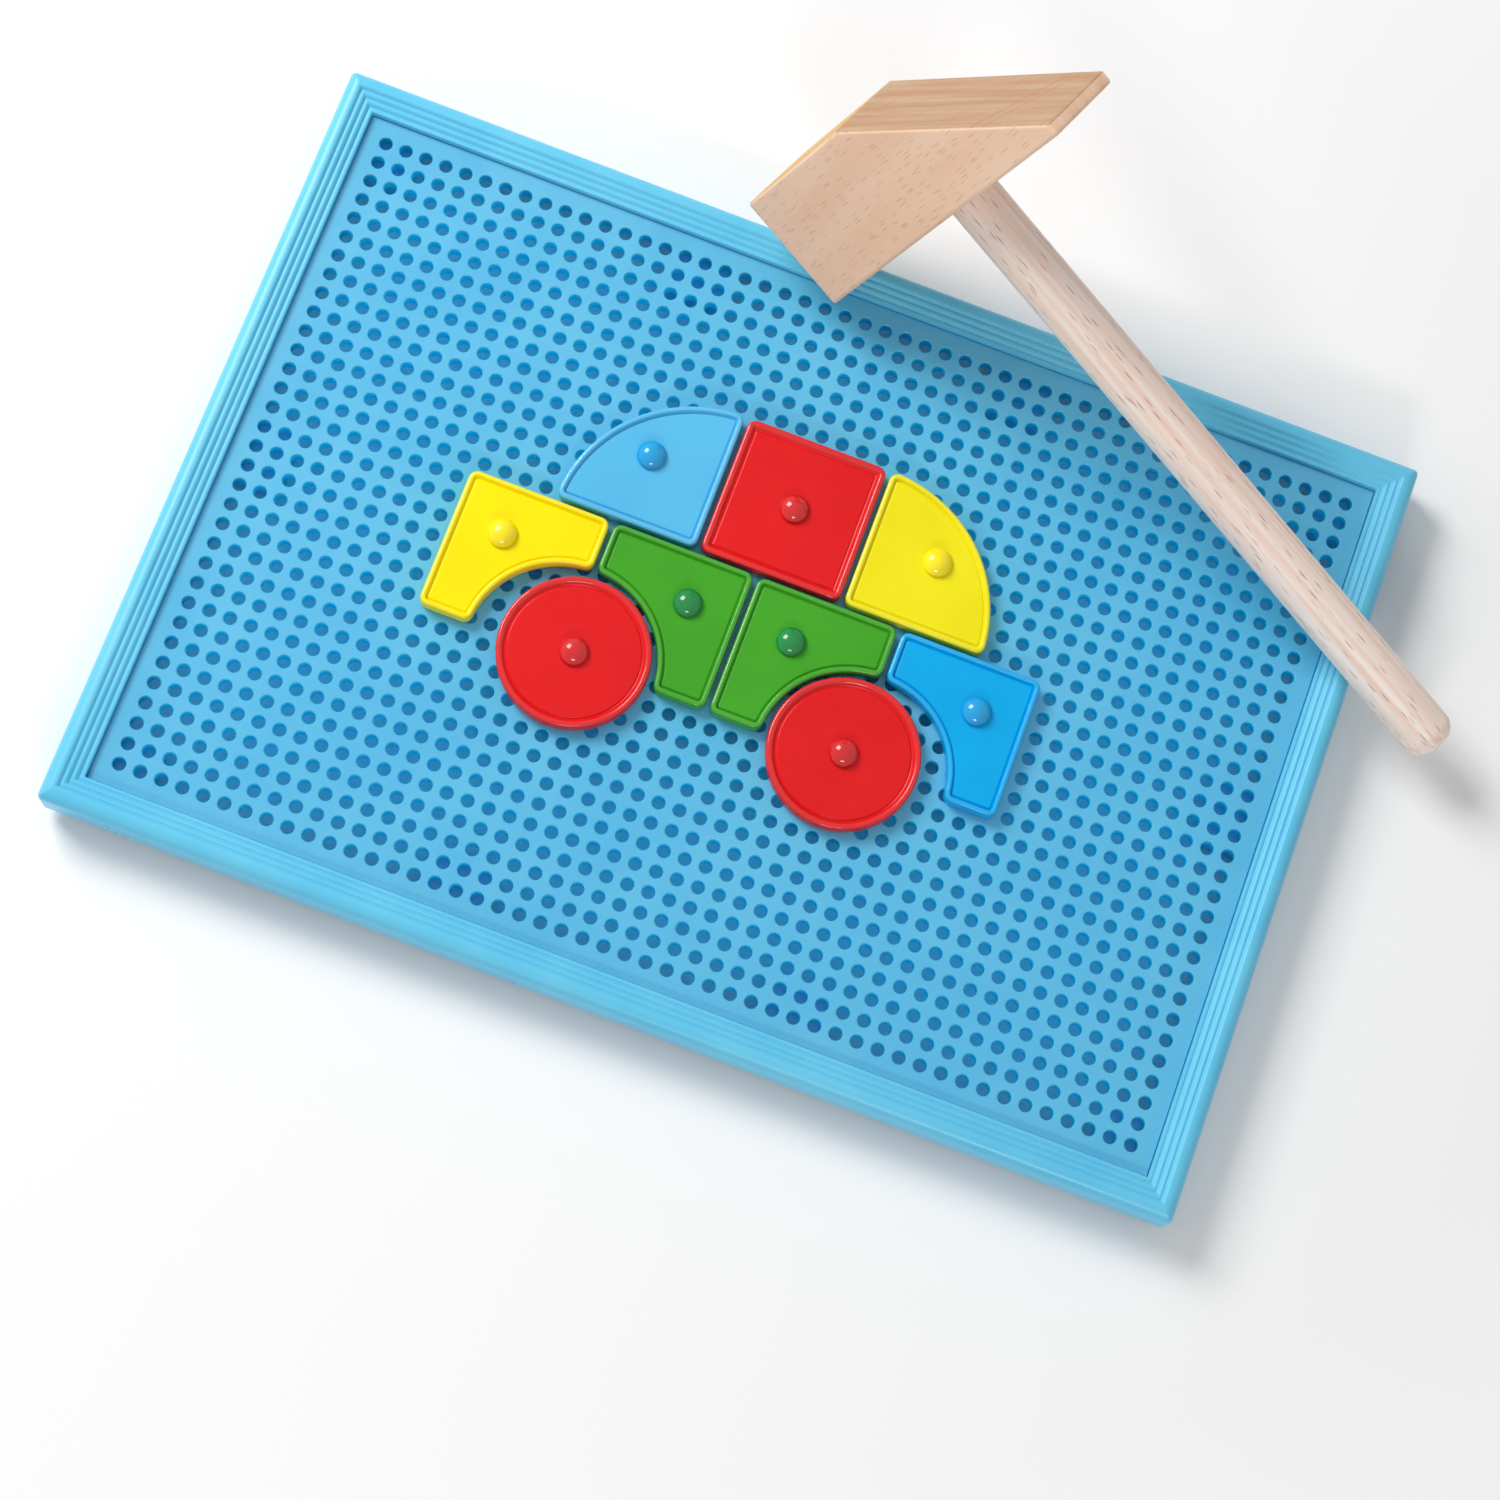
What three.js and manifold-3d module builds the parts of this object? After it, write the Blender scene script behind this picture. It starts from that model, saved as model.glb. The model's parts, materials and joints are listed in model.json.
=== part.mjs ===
// Toy hammer board: a perforated plastic board, nine colour tiles held by push-in nails, and a beech hammer.
// Millimetres, +Z up. The origin is the bottom centre of the whole set's box, on the table.
import * as THREE from 'three';
import { mergeGeometries, mergeVertices } from 'three/addons/utils/BufferGeometryUtils.js';
import Module from 'manifold-3d';

// Hole field
const PITCH = 5.6;
const COLUMNS = 49;
const ROWS = 33;
const HOLE_D = 3.5;
const HOLE_SIDES = 4;
// Every second hole each way is cut here, besides those that hold nails, to keep the mesh light.
const CUT_EVERY = 2;

// Board
const PLATE_MARGIN = 6.3;
const PLATE_T = 3.5;
const PLATE_CORNER_R = 1;
const UNDER_ROOM = 9;
const RIM_WIDTH = 9.2;
const RIM_RISE = 3.5;
const RIM_EDGE_R = 3.4;
const RIM_STEPS = 3;
const RIM_STEP_RUN = 1.7;
const RIM_STEP_DROP = 0.6;
const RIM_CORNER_R = 1.5;
const RIM_WALL = 2.4;
const SKIRT_LIFT = 4;
const LEDGE_WIDTH = 3;
const LEDGE_T = 2.5;

// Feet that carry the plate's edge, at the corners, the thirds of the long sides and the middle of the short
const FOOT_LENGTH = 16.8;
const FOOT_REACH = 14.7;
const FOOT_CORNER_R = 2;
const FOOT_THIRD = 8 * PITCH;

// Tiles
const TILE = 38;
const TILE_T = 4;
const TILE_CORNER_R = 2.4;
const BEAD_WIDTH = 1.9;
const WIDE_BEAD = 2.6;
const GROOVE_CORNER_R = 0.3;
const BEAD_ROUND = 0.7;
const BEAD_RISE = 0.7;
const ARCH_R = 24;
const WHEEL_D = 39.6;
const FENDER_NAIL_INSET = 13.4;

// Nails
const NAIL_D = 3.1;
const NAIL_HEAD_D = 7.6;
const NAIL_HEAD_RISE = 2.6;
const NAIL_HEAD_EDGE = 0.5;
const NAIL_POINT = 3;
const NAIL_TIP_D = 1.2;
const NAIL_TIP_LIFT = 1.2;
const NAIL_HOLE_SIDES = 12;

// Hammer
const HEAD_LENGTH = 98;
const HEAD_TOP_LENGTH = 42;
const HEAD_HEIGHT = 34;
const HEAD_WIDTH = 26.5;
const HEAD_NOSE = 3.5;
const HEAD_CHAMFER = 0.9;
const STRIKE_TO_HANDLE = 51;
const HANDLE_D = 13.8;
const HANDLE_LENGTH = 185;
const HANDLE_END_R = 5;
const TENON = 20;

// How the hammer leans on the board: plan direction and roll in degrees, and the plan place of its handle
// joint from the board's rear right corner. Its slope and height follow from the two rims that it rests on.
const HAMMER_YAW = 64.9;
const HAMMER_ROLL = 67.4;
const HAMMER_FROM_RIGHT = -135.6;
const HAMMER_FROM_REAR = 6.2;

// Clearances
const SEAT_GAP = 0.3;
const FIT_GAP = 0.3;

// Worked out from the sizes above
const RECESS_X = (COLUMNS - 1) * PITCH / 2 + PLATE_MARGIN;
const RECESS_Y = (ROWS - 1) * PITCH / 2 + PLATE_MARGIN;
const HALF_X = RECESS_X + RIM_WIDTH;
const HALF_Y = RECESS_Y + RIM_WIDTH;
const PLATE_TOP = UNDER_ROOM + PLATE_T;
const RIM_TOP = PLATE_TOP + RIM_RISE;
const RIM_BAND = RIM_WIDTH - RIM_STEPS * RIM_STEP_RUN;
const TILE_FACE = TILE_T - BEAD_RISE;
const NAIL_HEAD_SEAT = SEAT_GAP + TILE_FACE + SEAT_GAP;

const wasm = await Module();
wasm.setup();

/** Joins equal corners of a geometry and drops the slivers that a pole or a seam leaves. */
function weld(geometry) {
  const bare = new THREE.BufferGeometry();
  bare.setAttribute('position', geometry.getAttribute('position').clone());
  if (geometry.index) bare.setIndex(geometry.index.clone());
  const merged = mergeVertices(bare, 1e-4);
  const kept = [];
  const index = merged.index.array;
  for (let i = 0; i < index.length; i += 3) {
    const [a, b, c] = [index[i], index[i + 1], index[i + 2]];
    if (a !== b && b !== c && c !== a) kept.push(a, b, c);
  }
  merged.setIndex(kept);
  return merged;
}

function toSolid(geometry) {
  const welded = weld(geometry);
  return new wasm.Manifold(new wasm.Mesh({
    numProp: 3,
    vertProperties: new Float32Array(welded.getAttribute('position').array),
    triVerts: new Uint32Array(welded.index.array),
  }));
}

function toGeometry(solid) {
  const mesh = solid.getMesh();
  const geometry = new THREE.BufferGeometry();
  geometry.setAttribute('position', new THREE.BufferAttribute(mesh.vertProperties, 3));
  geometry.setIndex(new THREE.BufferAttribute(mesh.triVerts, 1));
  return geometry;
}

function plastic(color, roughness) {
  return new THREE.MeshStandardMaterial({ color, roughness, metalness: 0 });
}

function addMesh(group, name, geometry, material) {
  const mesh = new THREE.Mesh(geometry, material);
  mesh.name = name;
  mesh.geometry.computeVertexNormals();
  group.add(mesh);
  return mesh;
}

/** Points of an arc about a centre, both ends included. */
function arc(cx, cy, radius, from, to, segments) {
  const points = [];
  for (let i = 0; i <= segments; i++) {
    const angle = from + (to - from) * i / segments;
    points.push(new THREE.Vector2(cx + radius * Math.cos(angle), cy + radius * Math.sin(angle)));
  }
  return points;
}

function circle(cx, cy, radius, sides, turn = 0) {
  const points = arc(cx, cy, radius, turn, turn + 2 * Math.PI, sides);
  points.pop();
  return points;
}

/** Rounded rectangle, counter-clockwise from its right side's lower end. */
function roundedRectangle(halfX, halfY, radius, segments, cx = 0, cy = 0) {
  const corners = [[1, -1], [1, 1], [-1, 1], [-1, -1]];
  return corners.flatMap(([sx, sy], i) => {
    const from = (i - 1) * Math.PI / 2;
    const [x, y] = [cx + sx * (halfX - radius), cy + sy * (halfY - radius)];
    return arc(x, y, radius, from, from + Math.PI / 2, segments);
  });
}

/** Skin through closed rings of equal count, from bottom to top, closed by two caps that share one hole. */
function loftRings(rings, hole = []) {
  const corners = [];
  const faces = [];
  rings.forEach(({ outline, z }) => outline.forEach((p) => corners.push(p.x, p.y, z)));
  const count = rings[0].outline.length;
  for (let ring = 0; ring + 1 < rings.length; ring++) {
    for (let i = 0; i < count; i++) {
      const a = ring * count + i;
      const b = ring * count + (i + 1) % count;
      faces.push(a, b, b + count, a, b + count, a + count);
    }
  }
  const ends = [rings[0], rings[rings.length - 1]];
  const starts = [0, (rings.length - 1) * count];
  const holeStarts = ends.map(({ z }) => {
    const start = corners.length / 3;
    hole.forEach((p) => corners.push(p.x, p.y, z));
    return start;
  });
  ends.forEach(({ outline }, end) => {
    const clockwiseHole = [...hole].reverse();
    const holes = hole.length ? [clockwiseHole] : [];
    const place = (i) => (i < count ? starts[end] + i : holeStarts[end] + hole.length - 1 - (i - count));
    THREE.ShapeUtils.triangulateShape([...outline], holes).forEach(([a, b, c]) => {
      if (end === 1) faces.push(place(a), place(b), place(c));
      else faces.push(place(a), place(c), place(b));
    });
  });
  hole.forEach((_, i) => {
    const next = (i + 1) % hole.length;
    const [low, high] = holeStarts;
    faces.push(low + i, high + next, low + next, low + i, high + i, high + next);
  });
  const geometry = new THREE.BufferGeometry();
  geometry.setAttribute('position', new THREE.Float32BufferAttribute(corners, 3));
  geometry.setIndex(faces);
  return weld(geometry);
}

/** Section of the rim as [inset from the outer face, height], up the outside and back under. */
function rimSection() {
  const edge = arc(RIM_EDGE_R, RIM_TOP - RIM_EDGE_R, RIM_EDGE_R, Math.PI, Math.PI / 2, 5);
  const section = [[0, SKIRT_LIFT], ...edge.map((p) => [p.x, p.y])];
  for (let i = 0; i < RIM_STEPS; i++) {
    const inset = RIM_BAND + i * RIM_STEP_RUN;
    section.push([inset, RIM_TOP - i * RIM_STEP_DROP], [inset, RIM_TOP - (i + 1) * RIM_STEP_DROP]);
  }
  const deckUnder = RIM_TOP - RIM_STEPS * RIM_STEP_DROP - RIM_WALL;
  const ledgeTop = UNDER_ROOM - SEAT_GAP;
  section.push(
    [RIM_WIDTH, RIM_TOP - RIM_STEPS * RIM_STEP_DROP],
    [RIM_WIDTH, ledgeTop],
    [RIM_WIDTH + LEDGE_WIDTH, ledgeTop],
    [RIM_WIDTH + LEDGE_WIDTH, ledgeTop - LEDGE_T],
    [RIM_WIDTH - RIM_WALL, ledgeTop - LEDGE_T],
    [RIM_WIDTH - RIM_WALL, deckUnder],
    [RIM_WALL, deckUnder],
    [RIM_WALL, SKIRT_LIFT],
  );
  return section;
}

/** The rim's section carried round the board, with rounded outer corners that close to a mitre inside. */
function rimGeometry() {
  const section = rimSection();
  const mitreR = 0.4;
  const cornerSegments = 3;
  const corners = [];
  section.forEach(([inset, z]) => {
    const radius = Math.max(RIM_CORNER_R - inset, mitreR);
    roundedRectangle(HALF_X - inset, HALF_Y - inset, radius, cornerSegments)
      .forEach((p) => corners.push(p.x, p.y, z));
  });
  const count = corners.length / 3 / section.length;
  const faces = [];
  for (let s = 0; s < section.length; s++) {
    const t = (s + 1) % section.length;
    for (let i = 0; i < count; i++) {
      const j = (i + 1) % count;
      const [a, b, c, d] = [s * count + i, s * count + j, t * count + j, t * count + i];
      faces.push(a, b, c, a, c, d);
    }
  }
  const geometry = new THREE.BufferGeometry();
  geometry.setAttribute('position', new THREE.Float32BufferAttribute(corners, 3));
  geometry.setIndex(faces);
  return geometry;
}

/** Plan centres and half sizes of the ten feet, each reaching from the rim's inner wall under the plate. */
function footPlaces() {
  const back = RIM_WALL / 2;
  const half = (FOOT_REACH + back) / 2;
  const x = RECESS_X + back - half;
  const y = RECESS_Y + back - half;
  const places = [];
  [-1, 1].forEach((side) => {
    [-1, 1].forEach((end) => {
      places.push({ x: side * x, y: end * y, halfX: half, halfY: half });
      places.push({ x: side * FOOT_THIRD, y: end * y, halfX: FOOT_LENGTH / 2, halfY: half });
    });
    places.push({ x: side * x, y: 0, halfX: half, halfY: FOOT_LENGTH / 2 });
  });
  return places;
}

function footGeometry({ x, y, halfX, halfY }) {
  const outline = roundedRectangle(halfX, halfY, FOOT_CORNER_R, 2, x, y);
  return loftRings([{ outline, z: 0 }, { outline, z: UNDER_ROOM - SEAT_GAP }]);
}

function frameGeometry() {
  const feet = footPlaces().map((place) => toSolid(footGeometry(place)));
  return toGeometry(feet.reduce((frame, foot) => frame.add(foot), toSolid(rimGeometry())));
}

/** The perforated plate, with round holes at the given lattice places and faceted ones over the field. */
function plateGeometry(nailPlaces) {
  const outline = roundedRectangle(RECESS_X - FIT_GAP, RECESS_Y - FIT_GAP, PLATE_CORNER_R, 2);
  const blank = loftRings([{ outline, z: UNDER_ROOM }, { outline, z: PLATE_TOP }]);
  const punch = (column, row, sides, turn) => {
    const hole = circle(column * PITCH, row * PITCH, HOLE_D / 2, sides, turn);
    return loftRings([{ outline: hole, z: UNDER_ROOM - PLATE_T }, { outline: hole, z: PLATE_TOP + PLATE_T }]);
  };
  const taken = new Set(nailPlaces.map(([column, row]) => `${column},${row}`));
  const [lastColumn, lastRow] = [(COLUMNS - 1) / 2, (ROWS - 1) / 2];
  const punches = nailPlaces.map(([column, row]) => punch(column, row, NAIL_HOLE_SIDES, 0));
  for (let column = -lastColumn; column <= lastColumn; column += CUT_EVERY) {
    for (let row = -lastRow; row <= lastRow; row += CUT_EVERY) {
      if (!taken.has(`${column},${row}`)) punches.push(punch(column, row, HOLE_SIDES, Math.PI / 4));
    }
  }
  return toGeometry(toSolid(blank).subtract(toSolid(mergeGeometries(punches))));
}

// Tile outlines, each inset by a distance from its edge so that one function draws its bead and its face.

function squareOutline(inset) {
  const radius = Math.max(TILE_CORNER_R - inset, GROOVE_CORNER_R);
  return roundedRectangle(TILE / 2 - inset, TILE / 2 - inset, radius, 3);
}

/** Quarter disc with its square corner at the lower left of the tile's box, which is centred on the nail. */
function quarterOutline(inset) {
  const corner = -TILE / 2;
  const r = TILE_CORNER_R;
  const along = Math.sqrt((TILE - r) ** 2 - r ** 2);
  const tip = Math.asin(r / (TILE - r));
  return [
    ...arc(corner + r, corner + r, r - inset, Math.PI, 1.5 * Math.PI, 3),
    ...arc(corner + along, corner + r, r - inset, -Math.PI / 2, tip, 3),
    ...arc(corner, corner, TILE - inset, tip, Math.PI / 2 - tip, 14).slice(1, -1),
    ...arc(corner + r, corner + along, r - inset, Math.PI / 2 - tip, Math.PI, 3),
  ];
}

/** Square with a wheel arch cut from its lower left corner; the nail is near the opposite corner. */
function fenderOutline(inset) {
  const high = FENDER_NAIL_INSET;
  const low = high - TILE;
  const r = TILE_CORNER_R;
  const along = Math.sqrt((ARCH_R + r) ** 2 - r ** 2);
  const tip = Math.asin(r / (ARCH_R + r));
  const quarter = Math.PI / 2;
  const square = [[high - r, low + r, -quarter], [high - r, high - r, 0], [low + r, high - r, quarter]];
  return [
    ...square.flatMap(([x, y, from]) => arc(x, y, r - inset, from, from + Math.PI / 2, 3)),
    ...arc(low + r, low + along, r - inset, Math.PI, 1.5 * Math.PI - tip, 3),
    ...arc(low, low, ARCH_R + inset, Math.PI / 2 - tip, tip, 10).slice(1, -1),
    ...arc(low + along, low + r, r - inset, Math.PI + tip, 1.5 * Math.PI, 3),
  ];
}

function wheelOutline(inset) {
  return circle(0, 0, WHEEL_D / 2 - inset, 36);
}

/** A tile with a rounded bead round a slightly sunken face and a hole for its nail. */
function tileGeometry(outline, bead) {
  const ring = (inset, z) => ({ outline: outline(inset), z });
  return loftRings([
    ring(0, 0),
    ring(0, TILE_T - BEAD_ROUND),
    ring(BEAD_ROUND, TILE_T),
    ring(bead - BEAD_ROUND / 2, TILE_T),
    ring(bead, TILE_FACE),
  ], circle(0, 0, HOLE_D / 2, NAIL_HOLE_SIDES));
}

/** A push-in nail with a domed head, standing on the plate's top face at Z 0. */
function nailGeometry() {
  const headR = NAIL_HEAD_D / 2;
  const rise = NAIL_HEAD_RISE - NAIL_HEAD_EDGE;
  const sphereR = (headR ** 2 + rise ** 2) / (2 * rise);
  const top = NAIL_HEAD_SEAT + NAIL_HEAD_RISE;
  const edgeAngle = Math.asin(headR / sphereR);
  const dome = arc(0, top - sphereR, sphereR, Math.PI / 2 - edgeAngle, Math.PI / 2, 5);
  dome[dome.length - 1].x = 0;
  const tip = NAIL_TIP_LIFT - PLATE_TOP;
  const profile = [
    new THREE.Vector2(0, tip),
    new THREE.Vector2(NAIL_TIP_D / 2, tip),
    new THREE.Vector2(NAIL_D / 2, tip + NAIL_POINT),
    new THREE.Vector2(NAIL_D / 2, NAIL_HEAD_SEAT),
    new THREE.Vector2(headR, NAIL_HEAD_SEAT),
    ...dome,
  ];
  return weld(new THREE.LatheGeometry(profile, NAIL_HOLE_SIDES).rotateX(Math.PI / 2));
}

// Hammer, in its own axes: X from the striking face to the wedge, Y from the handle to the top, Z across.

function headProfile() {
  const strike = -STRIKE_TO_HANDLE;
  const nose = HEAD_LENGTH - STRIKE_TO_HANDLE;
  return [
    new THREE.Vector2(strike, 0),
    new THREE.Vector2(nose, 0),
    new THREE.Vector2(nose, HEAD_NOSE),
    new THREE.Vector2(strike + HEAD_TOP_LENGTH, HEAD_HEIGHT),
    new THREE.Vector2(strike, HEAD_HEIGHT),
  ];
}

function headGeometry() {
  const block = new THREE.ExtrudeGeometry(new THREE.Shape(headProfile()), {
    depth: HEAD_WIDTH - 2 * HEAD_CHAMFER,
    bevelEnabled: true,
    bevelThickness: HEAD_CHAMFER,
    bevelSize: HEAD_CHAMFER,
    bevelOffset: -HEAD_CHAMFER,
    bevelSegments: 1,
  });
  block.translate(0, 0, HEAD_CHAMFER - HEAD_WIDTH / 2);
  const depth = TENON + FIT_GAP;
  const below = 1;
  const socketR = HANDLE_D / 2 + FIT_GAP;
  const socket = new THREE.CylinderGeometry(socketR, socketR, depth + below, 24);
  socket.translate(0, (depth - below) / 2, 0);
  return toGeometry(toSolid(block).subtract(toSolid(socket)));
}

function handleGeometry() {
  const r = HANDLE_D / 2;
  const end = arc(r - HANDLE_END_R, HANDLE_END_R - HANDLE_LENGTH, HANDLE_END_R, -Math.PI / 2, 0, 4);
  const profile = [
    new THREE.Vector2(0, -HANDLE_LENGTH),
    ...end,
    new THREE.Vector2(r, TENON),
    new THREE.Vector2(0, TENON),
  ];
  return weld(new THREE.LatheGeometry(profile, 24));
}

/** Height of the board's upper outline over the table at a place in plan, from the rim's own sizes. */
function boardHeight(x, y) {
  const inset = Math.min(HALF_X - Math.abs(x), HALF_Y - Math.abs(y));
  if (inset < 0) return 0;
  const fromRound = RIM_EDGE_R - inset;
  if (fromRound > 0) return RIM_TOP - RIM_EDGE_R + Math.sqrt(RIM_EDGE_R ** 2 - fromRound ** 2);
  if (inset > RIM_WIDTH) return PLATE_TOP;
  const step = Math.max(0, Math.floor((inset - RIM_BAND) / RIM_STEP_RUN) + 1);
  return RIM_TOP - Math.min(step, RIM_STEPS) * RIM_STEP_DROP;
}

/** Points spread over a welded geometry's triangles, in its own axes. */
function surfacePoints(geometry, spacing) {
  const place = geometry.getAttribute('position');
  const index = geometry.index.array;
  const points = [];
  const [a, b, c] = [new THREE.Vector3(), new THREE.Vector3(), new THREE.Vector3()];
  for (let i = 0; i < index.length; i += 3) {
    [a, b, c].forEach((corner, k) => corner.fromBufferAttribute(place, index[i + k]));
    const longest = Math.max(a.distanceTo(b), b.distanceTo(c), c.distanceTo(a));
    const steps = Math.max(1, Math.ceil(longest / spacing));
    for (let u = 0; u <= steps; u++) {
      for (let v = 0; u + v <= steps; v++) {
        const w = steps - u - v;
        points.push(new THREE.Vector3().addScaledVector(a, u / steps).addScaledVector(b, v / steps)
          .addScaledVector(c, w / steps));
      }
    }
  }
  return points;
}

/** Least height of the points over the board once the hammer's group has this slope. */
function clearance(hammer, points, slope) {
  hammer.rotation.x = slope;
  hammer.updateMatrix();
  const moved = new THREE.Vector3();
  return points.reduce((least, point) => {
    moved.copy(point).applyMatrix4(hammer.matrix);
    return Math.min(least, moved.z - boardHeight(moved.x, moved.y));
  }, Infinity);
}

/** Tilts and lifts the hammer until its head rests on the rear rim and its handle on the right one. */
function restOnRims(hammer, headPoints, handlePoints) {
  let [low, high] = [0, Math.PI / 4];
  for (let i = 0; i < 30; i++) {
    const slope = (low + high) / 2;
    const handleIsLower = clearance(hammer, handlePoints, slope) < clearance(hammer, headPoints, slope);
    if (handleIsLower) high = slope;
    else low = slope;
  }
  hammer.position.z = SEAT_GAP - clearance(hammer, [...headPoints, ...handlePoints], (low + high) / 2);
}

function hammerGroup() {
  const hammer = new THREE.Group();
  hammer.name = 'hammer';
  const head = addMesh(hammer, 'hammer_head', headGeometry(), plastic(0xe0b588, 0.6));
  const handle = addMesh(hammer, 'hammer_handle', handleGeometry(), plastic(0xe9cbb0, 0.6));
  hammer.rotation.order = 'ZXY';
  hammer.rotation.set(0, -THREE.MathUtils.degToRad(HAMMER_ROLL), THREE.MathUtils.degToRad(HAMMER_YAW));
  hammer.position.set(HALF_X + HAMMER_FROM_RIGHT, HALF_Y + HAMMER_FROM_REAR, 0);
  restOnRims(hammer, surfacePoints(head.geometry, 3), surfacePoints(handle.geometry, 3));
  return hammer;
}

const RED = 0xe42326;
const GREEN = 0x44a724;
const YELLOW = 0xffee00;
const SKY = 0x00aeef;
const PALE_SKY = 0x5abeeb;
const NAIL_GREEN = 0x009444;

// Where each tile's nail goes in, as a column and a row of the hole field from its middle hole
const TILES = [
  { name: 'yellow_fender', outline: fenderOutline, at: [-12, 0], turns: 1, color: YELLOW, nail: YELLOW },
  { name: 'green_fender_left', outline: fenderOutline, at: [-3, 0], turns: 0, color: GREEN, nail: NAIL_GREEN },
  { name: 'green_fender_right', outline: fenderOutline, at: [2, 0], turns: 1, color: GREEN, nail: NAIL_GREEN },
  { name: 'blue_fender', outline: fenderOutline, at: [11, 0], turns: 0, color: SKY, nail: SKY },
  { name: 'pale_blue_quarter', outline: quarterOutline, at: [-7, 6], turns: 1, color: PALE_SKY, nail: SKY },
  { name: 'red_square', outline: squareOutline, at: [0, 6], color: RED, nail: RED, bead: WIDE_BEAD },
  { name: 'yellow_quarter', outline: quarterOutline, at: [7, 6], turns: 0, color: YELLOW, nail: YELLOW },
  { name: 'red_wheel_left', outline: wheelOutline, at: [-7, -4], color: RED, nail: RED, bead: WIDE_BEAD },
  { name: 'red_wheel_right', outline: wheelOutline, at: [6, -4], color: RED, nail: RED, bead: WIDE_BEAD },
];

function tileGroup({ name, outline, at, turns = 0, color, nail, bead = BEAD_WIDTH }) {
  const group = new THREE.Group();
  group.name = `${name}_set`;
  addMesh(group, name, tileGeometry(outline, bead), plastic(color, 0.25)).position.z = SEAT_GAP;
  addMesh(group, `${name}_nail`, nailGeometry(), plastic(nail, 0.25));
  group.position.set(at[0] * PITCH, at[1] * PITCH, PLATE_TOP);
  group.rotation.z = turns * Math.PI / 2;
  return group;
}

const board = new THREE.Group();
board.name = 'board';
addMesh(board, 'board_frame', frameGeometry(), plastic(0x5fc3f0, 0.35));
addMesh(board, 'peg_plate', plateGeometry(TILES.map((tile) => tile.at)), plastic(0x5fc3f0, 0.35));

const toy = new THREE.Group();
toy.name = 'toy_hammer_board';
toy.add(board, ...TILES.map(tileGroup), hammerGroup());

const box = new THREE.Box3().setFromObject(toy, true);
const middle = box.getCenter(new THREE.Vector3());
toy.position.set(-middle.x, -middle.y, -box.min.z);

export default toy;
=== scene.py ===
"""Looks of the toy hammer board.

The toy is a perforated plastic board with colour tiles, push-in nails and a beech hammer. Sizes
are in millimetres until a mesh is made. The scene is in metres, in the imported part's own frame.
"""

import json
import logging
import math
from collections.abc import Sequence
from dataclasses import dataclass, field, replace
from enum import Enum
from typing import NamedTuple

import bpy
import numpy as np
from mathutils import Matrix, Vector

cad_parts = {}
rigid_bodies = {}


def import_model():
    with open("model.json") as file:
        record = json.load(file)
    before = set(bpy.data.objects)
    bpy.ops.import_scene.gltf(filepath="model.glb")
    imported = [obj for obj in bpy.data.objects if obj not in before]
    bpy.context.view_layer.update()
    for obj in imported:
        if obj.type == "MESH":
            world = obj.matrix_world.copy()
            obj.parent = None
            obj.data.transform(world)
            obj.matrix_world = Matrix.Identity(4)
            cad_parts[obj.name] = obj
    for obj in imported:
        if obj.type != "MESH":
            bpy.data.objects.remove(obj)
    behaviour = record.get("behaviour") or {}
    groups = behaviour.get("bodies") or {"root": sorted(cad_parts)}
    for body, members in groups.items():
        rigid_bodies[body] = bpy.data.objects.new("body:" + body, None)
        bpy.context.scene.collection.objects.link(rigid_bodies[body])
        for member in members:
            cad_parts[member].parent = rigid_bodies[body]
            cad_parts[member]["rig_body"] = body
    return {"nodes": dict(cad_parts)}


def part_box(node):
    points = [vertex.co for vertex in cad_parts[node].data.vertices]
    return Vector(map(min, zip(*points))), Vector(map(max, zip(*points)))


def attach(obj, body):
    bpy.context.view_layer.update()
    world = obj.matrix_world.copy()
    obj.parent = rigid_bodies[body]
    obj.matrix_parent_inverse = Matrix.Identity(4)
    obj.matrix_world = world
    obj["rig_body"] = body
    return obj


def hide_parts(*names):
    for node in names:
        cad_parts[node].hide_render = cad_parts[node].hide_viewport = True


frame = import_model()

MM = 0.001
LOG = logging.getLogger("toy_hammer_board")
QUARTER = np.pi / 2
UNTURNED = np.eye(3)

# Fewest straight pieces in a corner, and the distance in millimetres at which two points are one.
CORNER_STEPS = 6
SAME_PLACE = 1e-6

# Sockets of a Mix node that blends two colours.
FACTOR, FIRST, SECOND, BLEND = 0, 6, 7, 2


def srgb(code: str, tone: float = 1.0) -> tuple[float, float, float, float]:
    """Turns an sRGB hex code into a linear colour.

    Args:
        code: Six hex digits.
        tone: Factor on the linear colour, below 1 to darken it.

    Returns:
        The colour that shader sockets take, with full alpha.
    """
    values = [int(code[i : i + 2], 16) / 255 for i in (0, 2, 4)]
    linear = [v / 12.92 if v <= 0.04045 else ((v + 0.055) / 1.055) ** 2.4 for v in values]
    return (*(tone * v for v in linear), 1.0)


def add_node(
    tree: bpy.types.NodeTree, kind: str, inputs: dict | None = None, **settings: object
) -> bpy.types.Node:
    """Adds one node, sets its properties and fills its inputs.

    Args:
        tree: Node tree that takes the node.
        kind: Type name of the node.
        inputs: Socket name or number, to a plain value or to the output socket that feeds it.
        settings: Properties of the node itself.

    Returns:
        The new node.
    """
    node = tree.nodes.new(kind)
    for key, value in settings.items():
        setattr(node, key, value)
    for key, value in (inputs or {}).items():
        if isinstance(value, bpy.types.NodeSocket):
            tree.links.new(value, node.inputs[key])
        else:
            node.inputs[key].default_value = value
    return node


def new_material(name: str) -> tuple[bpy.types.Material, bpy.types.NodeTree]:
    """Makes an empty node material.

    Args:
        name: What the real material is and what is made of it.

    Returns:
        The material and its tree.
    """
    material = bpy.data.materials.new(name)
    material.use_nodes = True
    material.node_tree.nodes.clear()
    return material, material.node_tree


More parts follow.
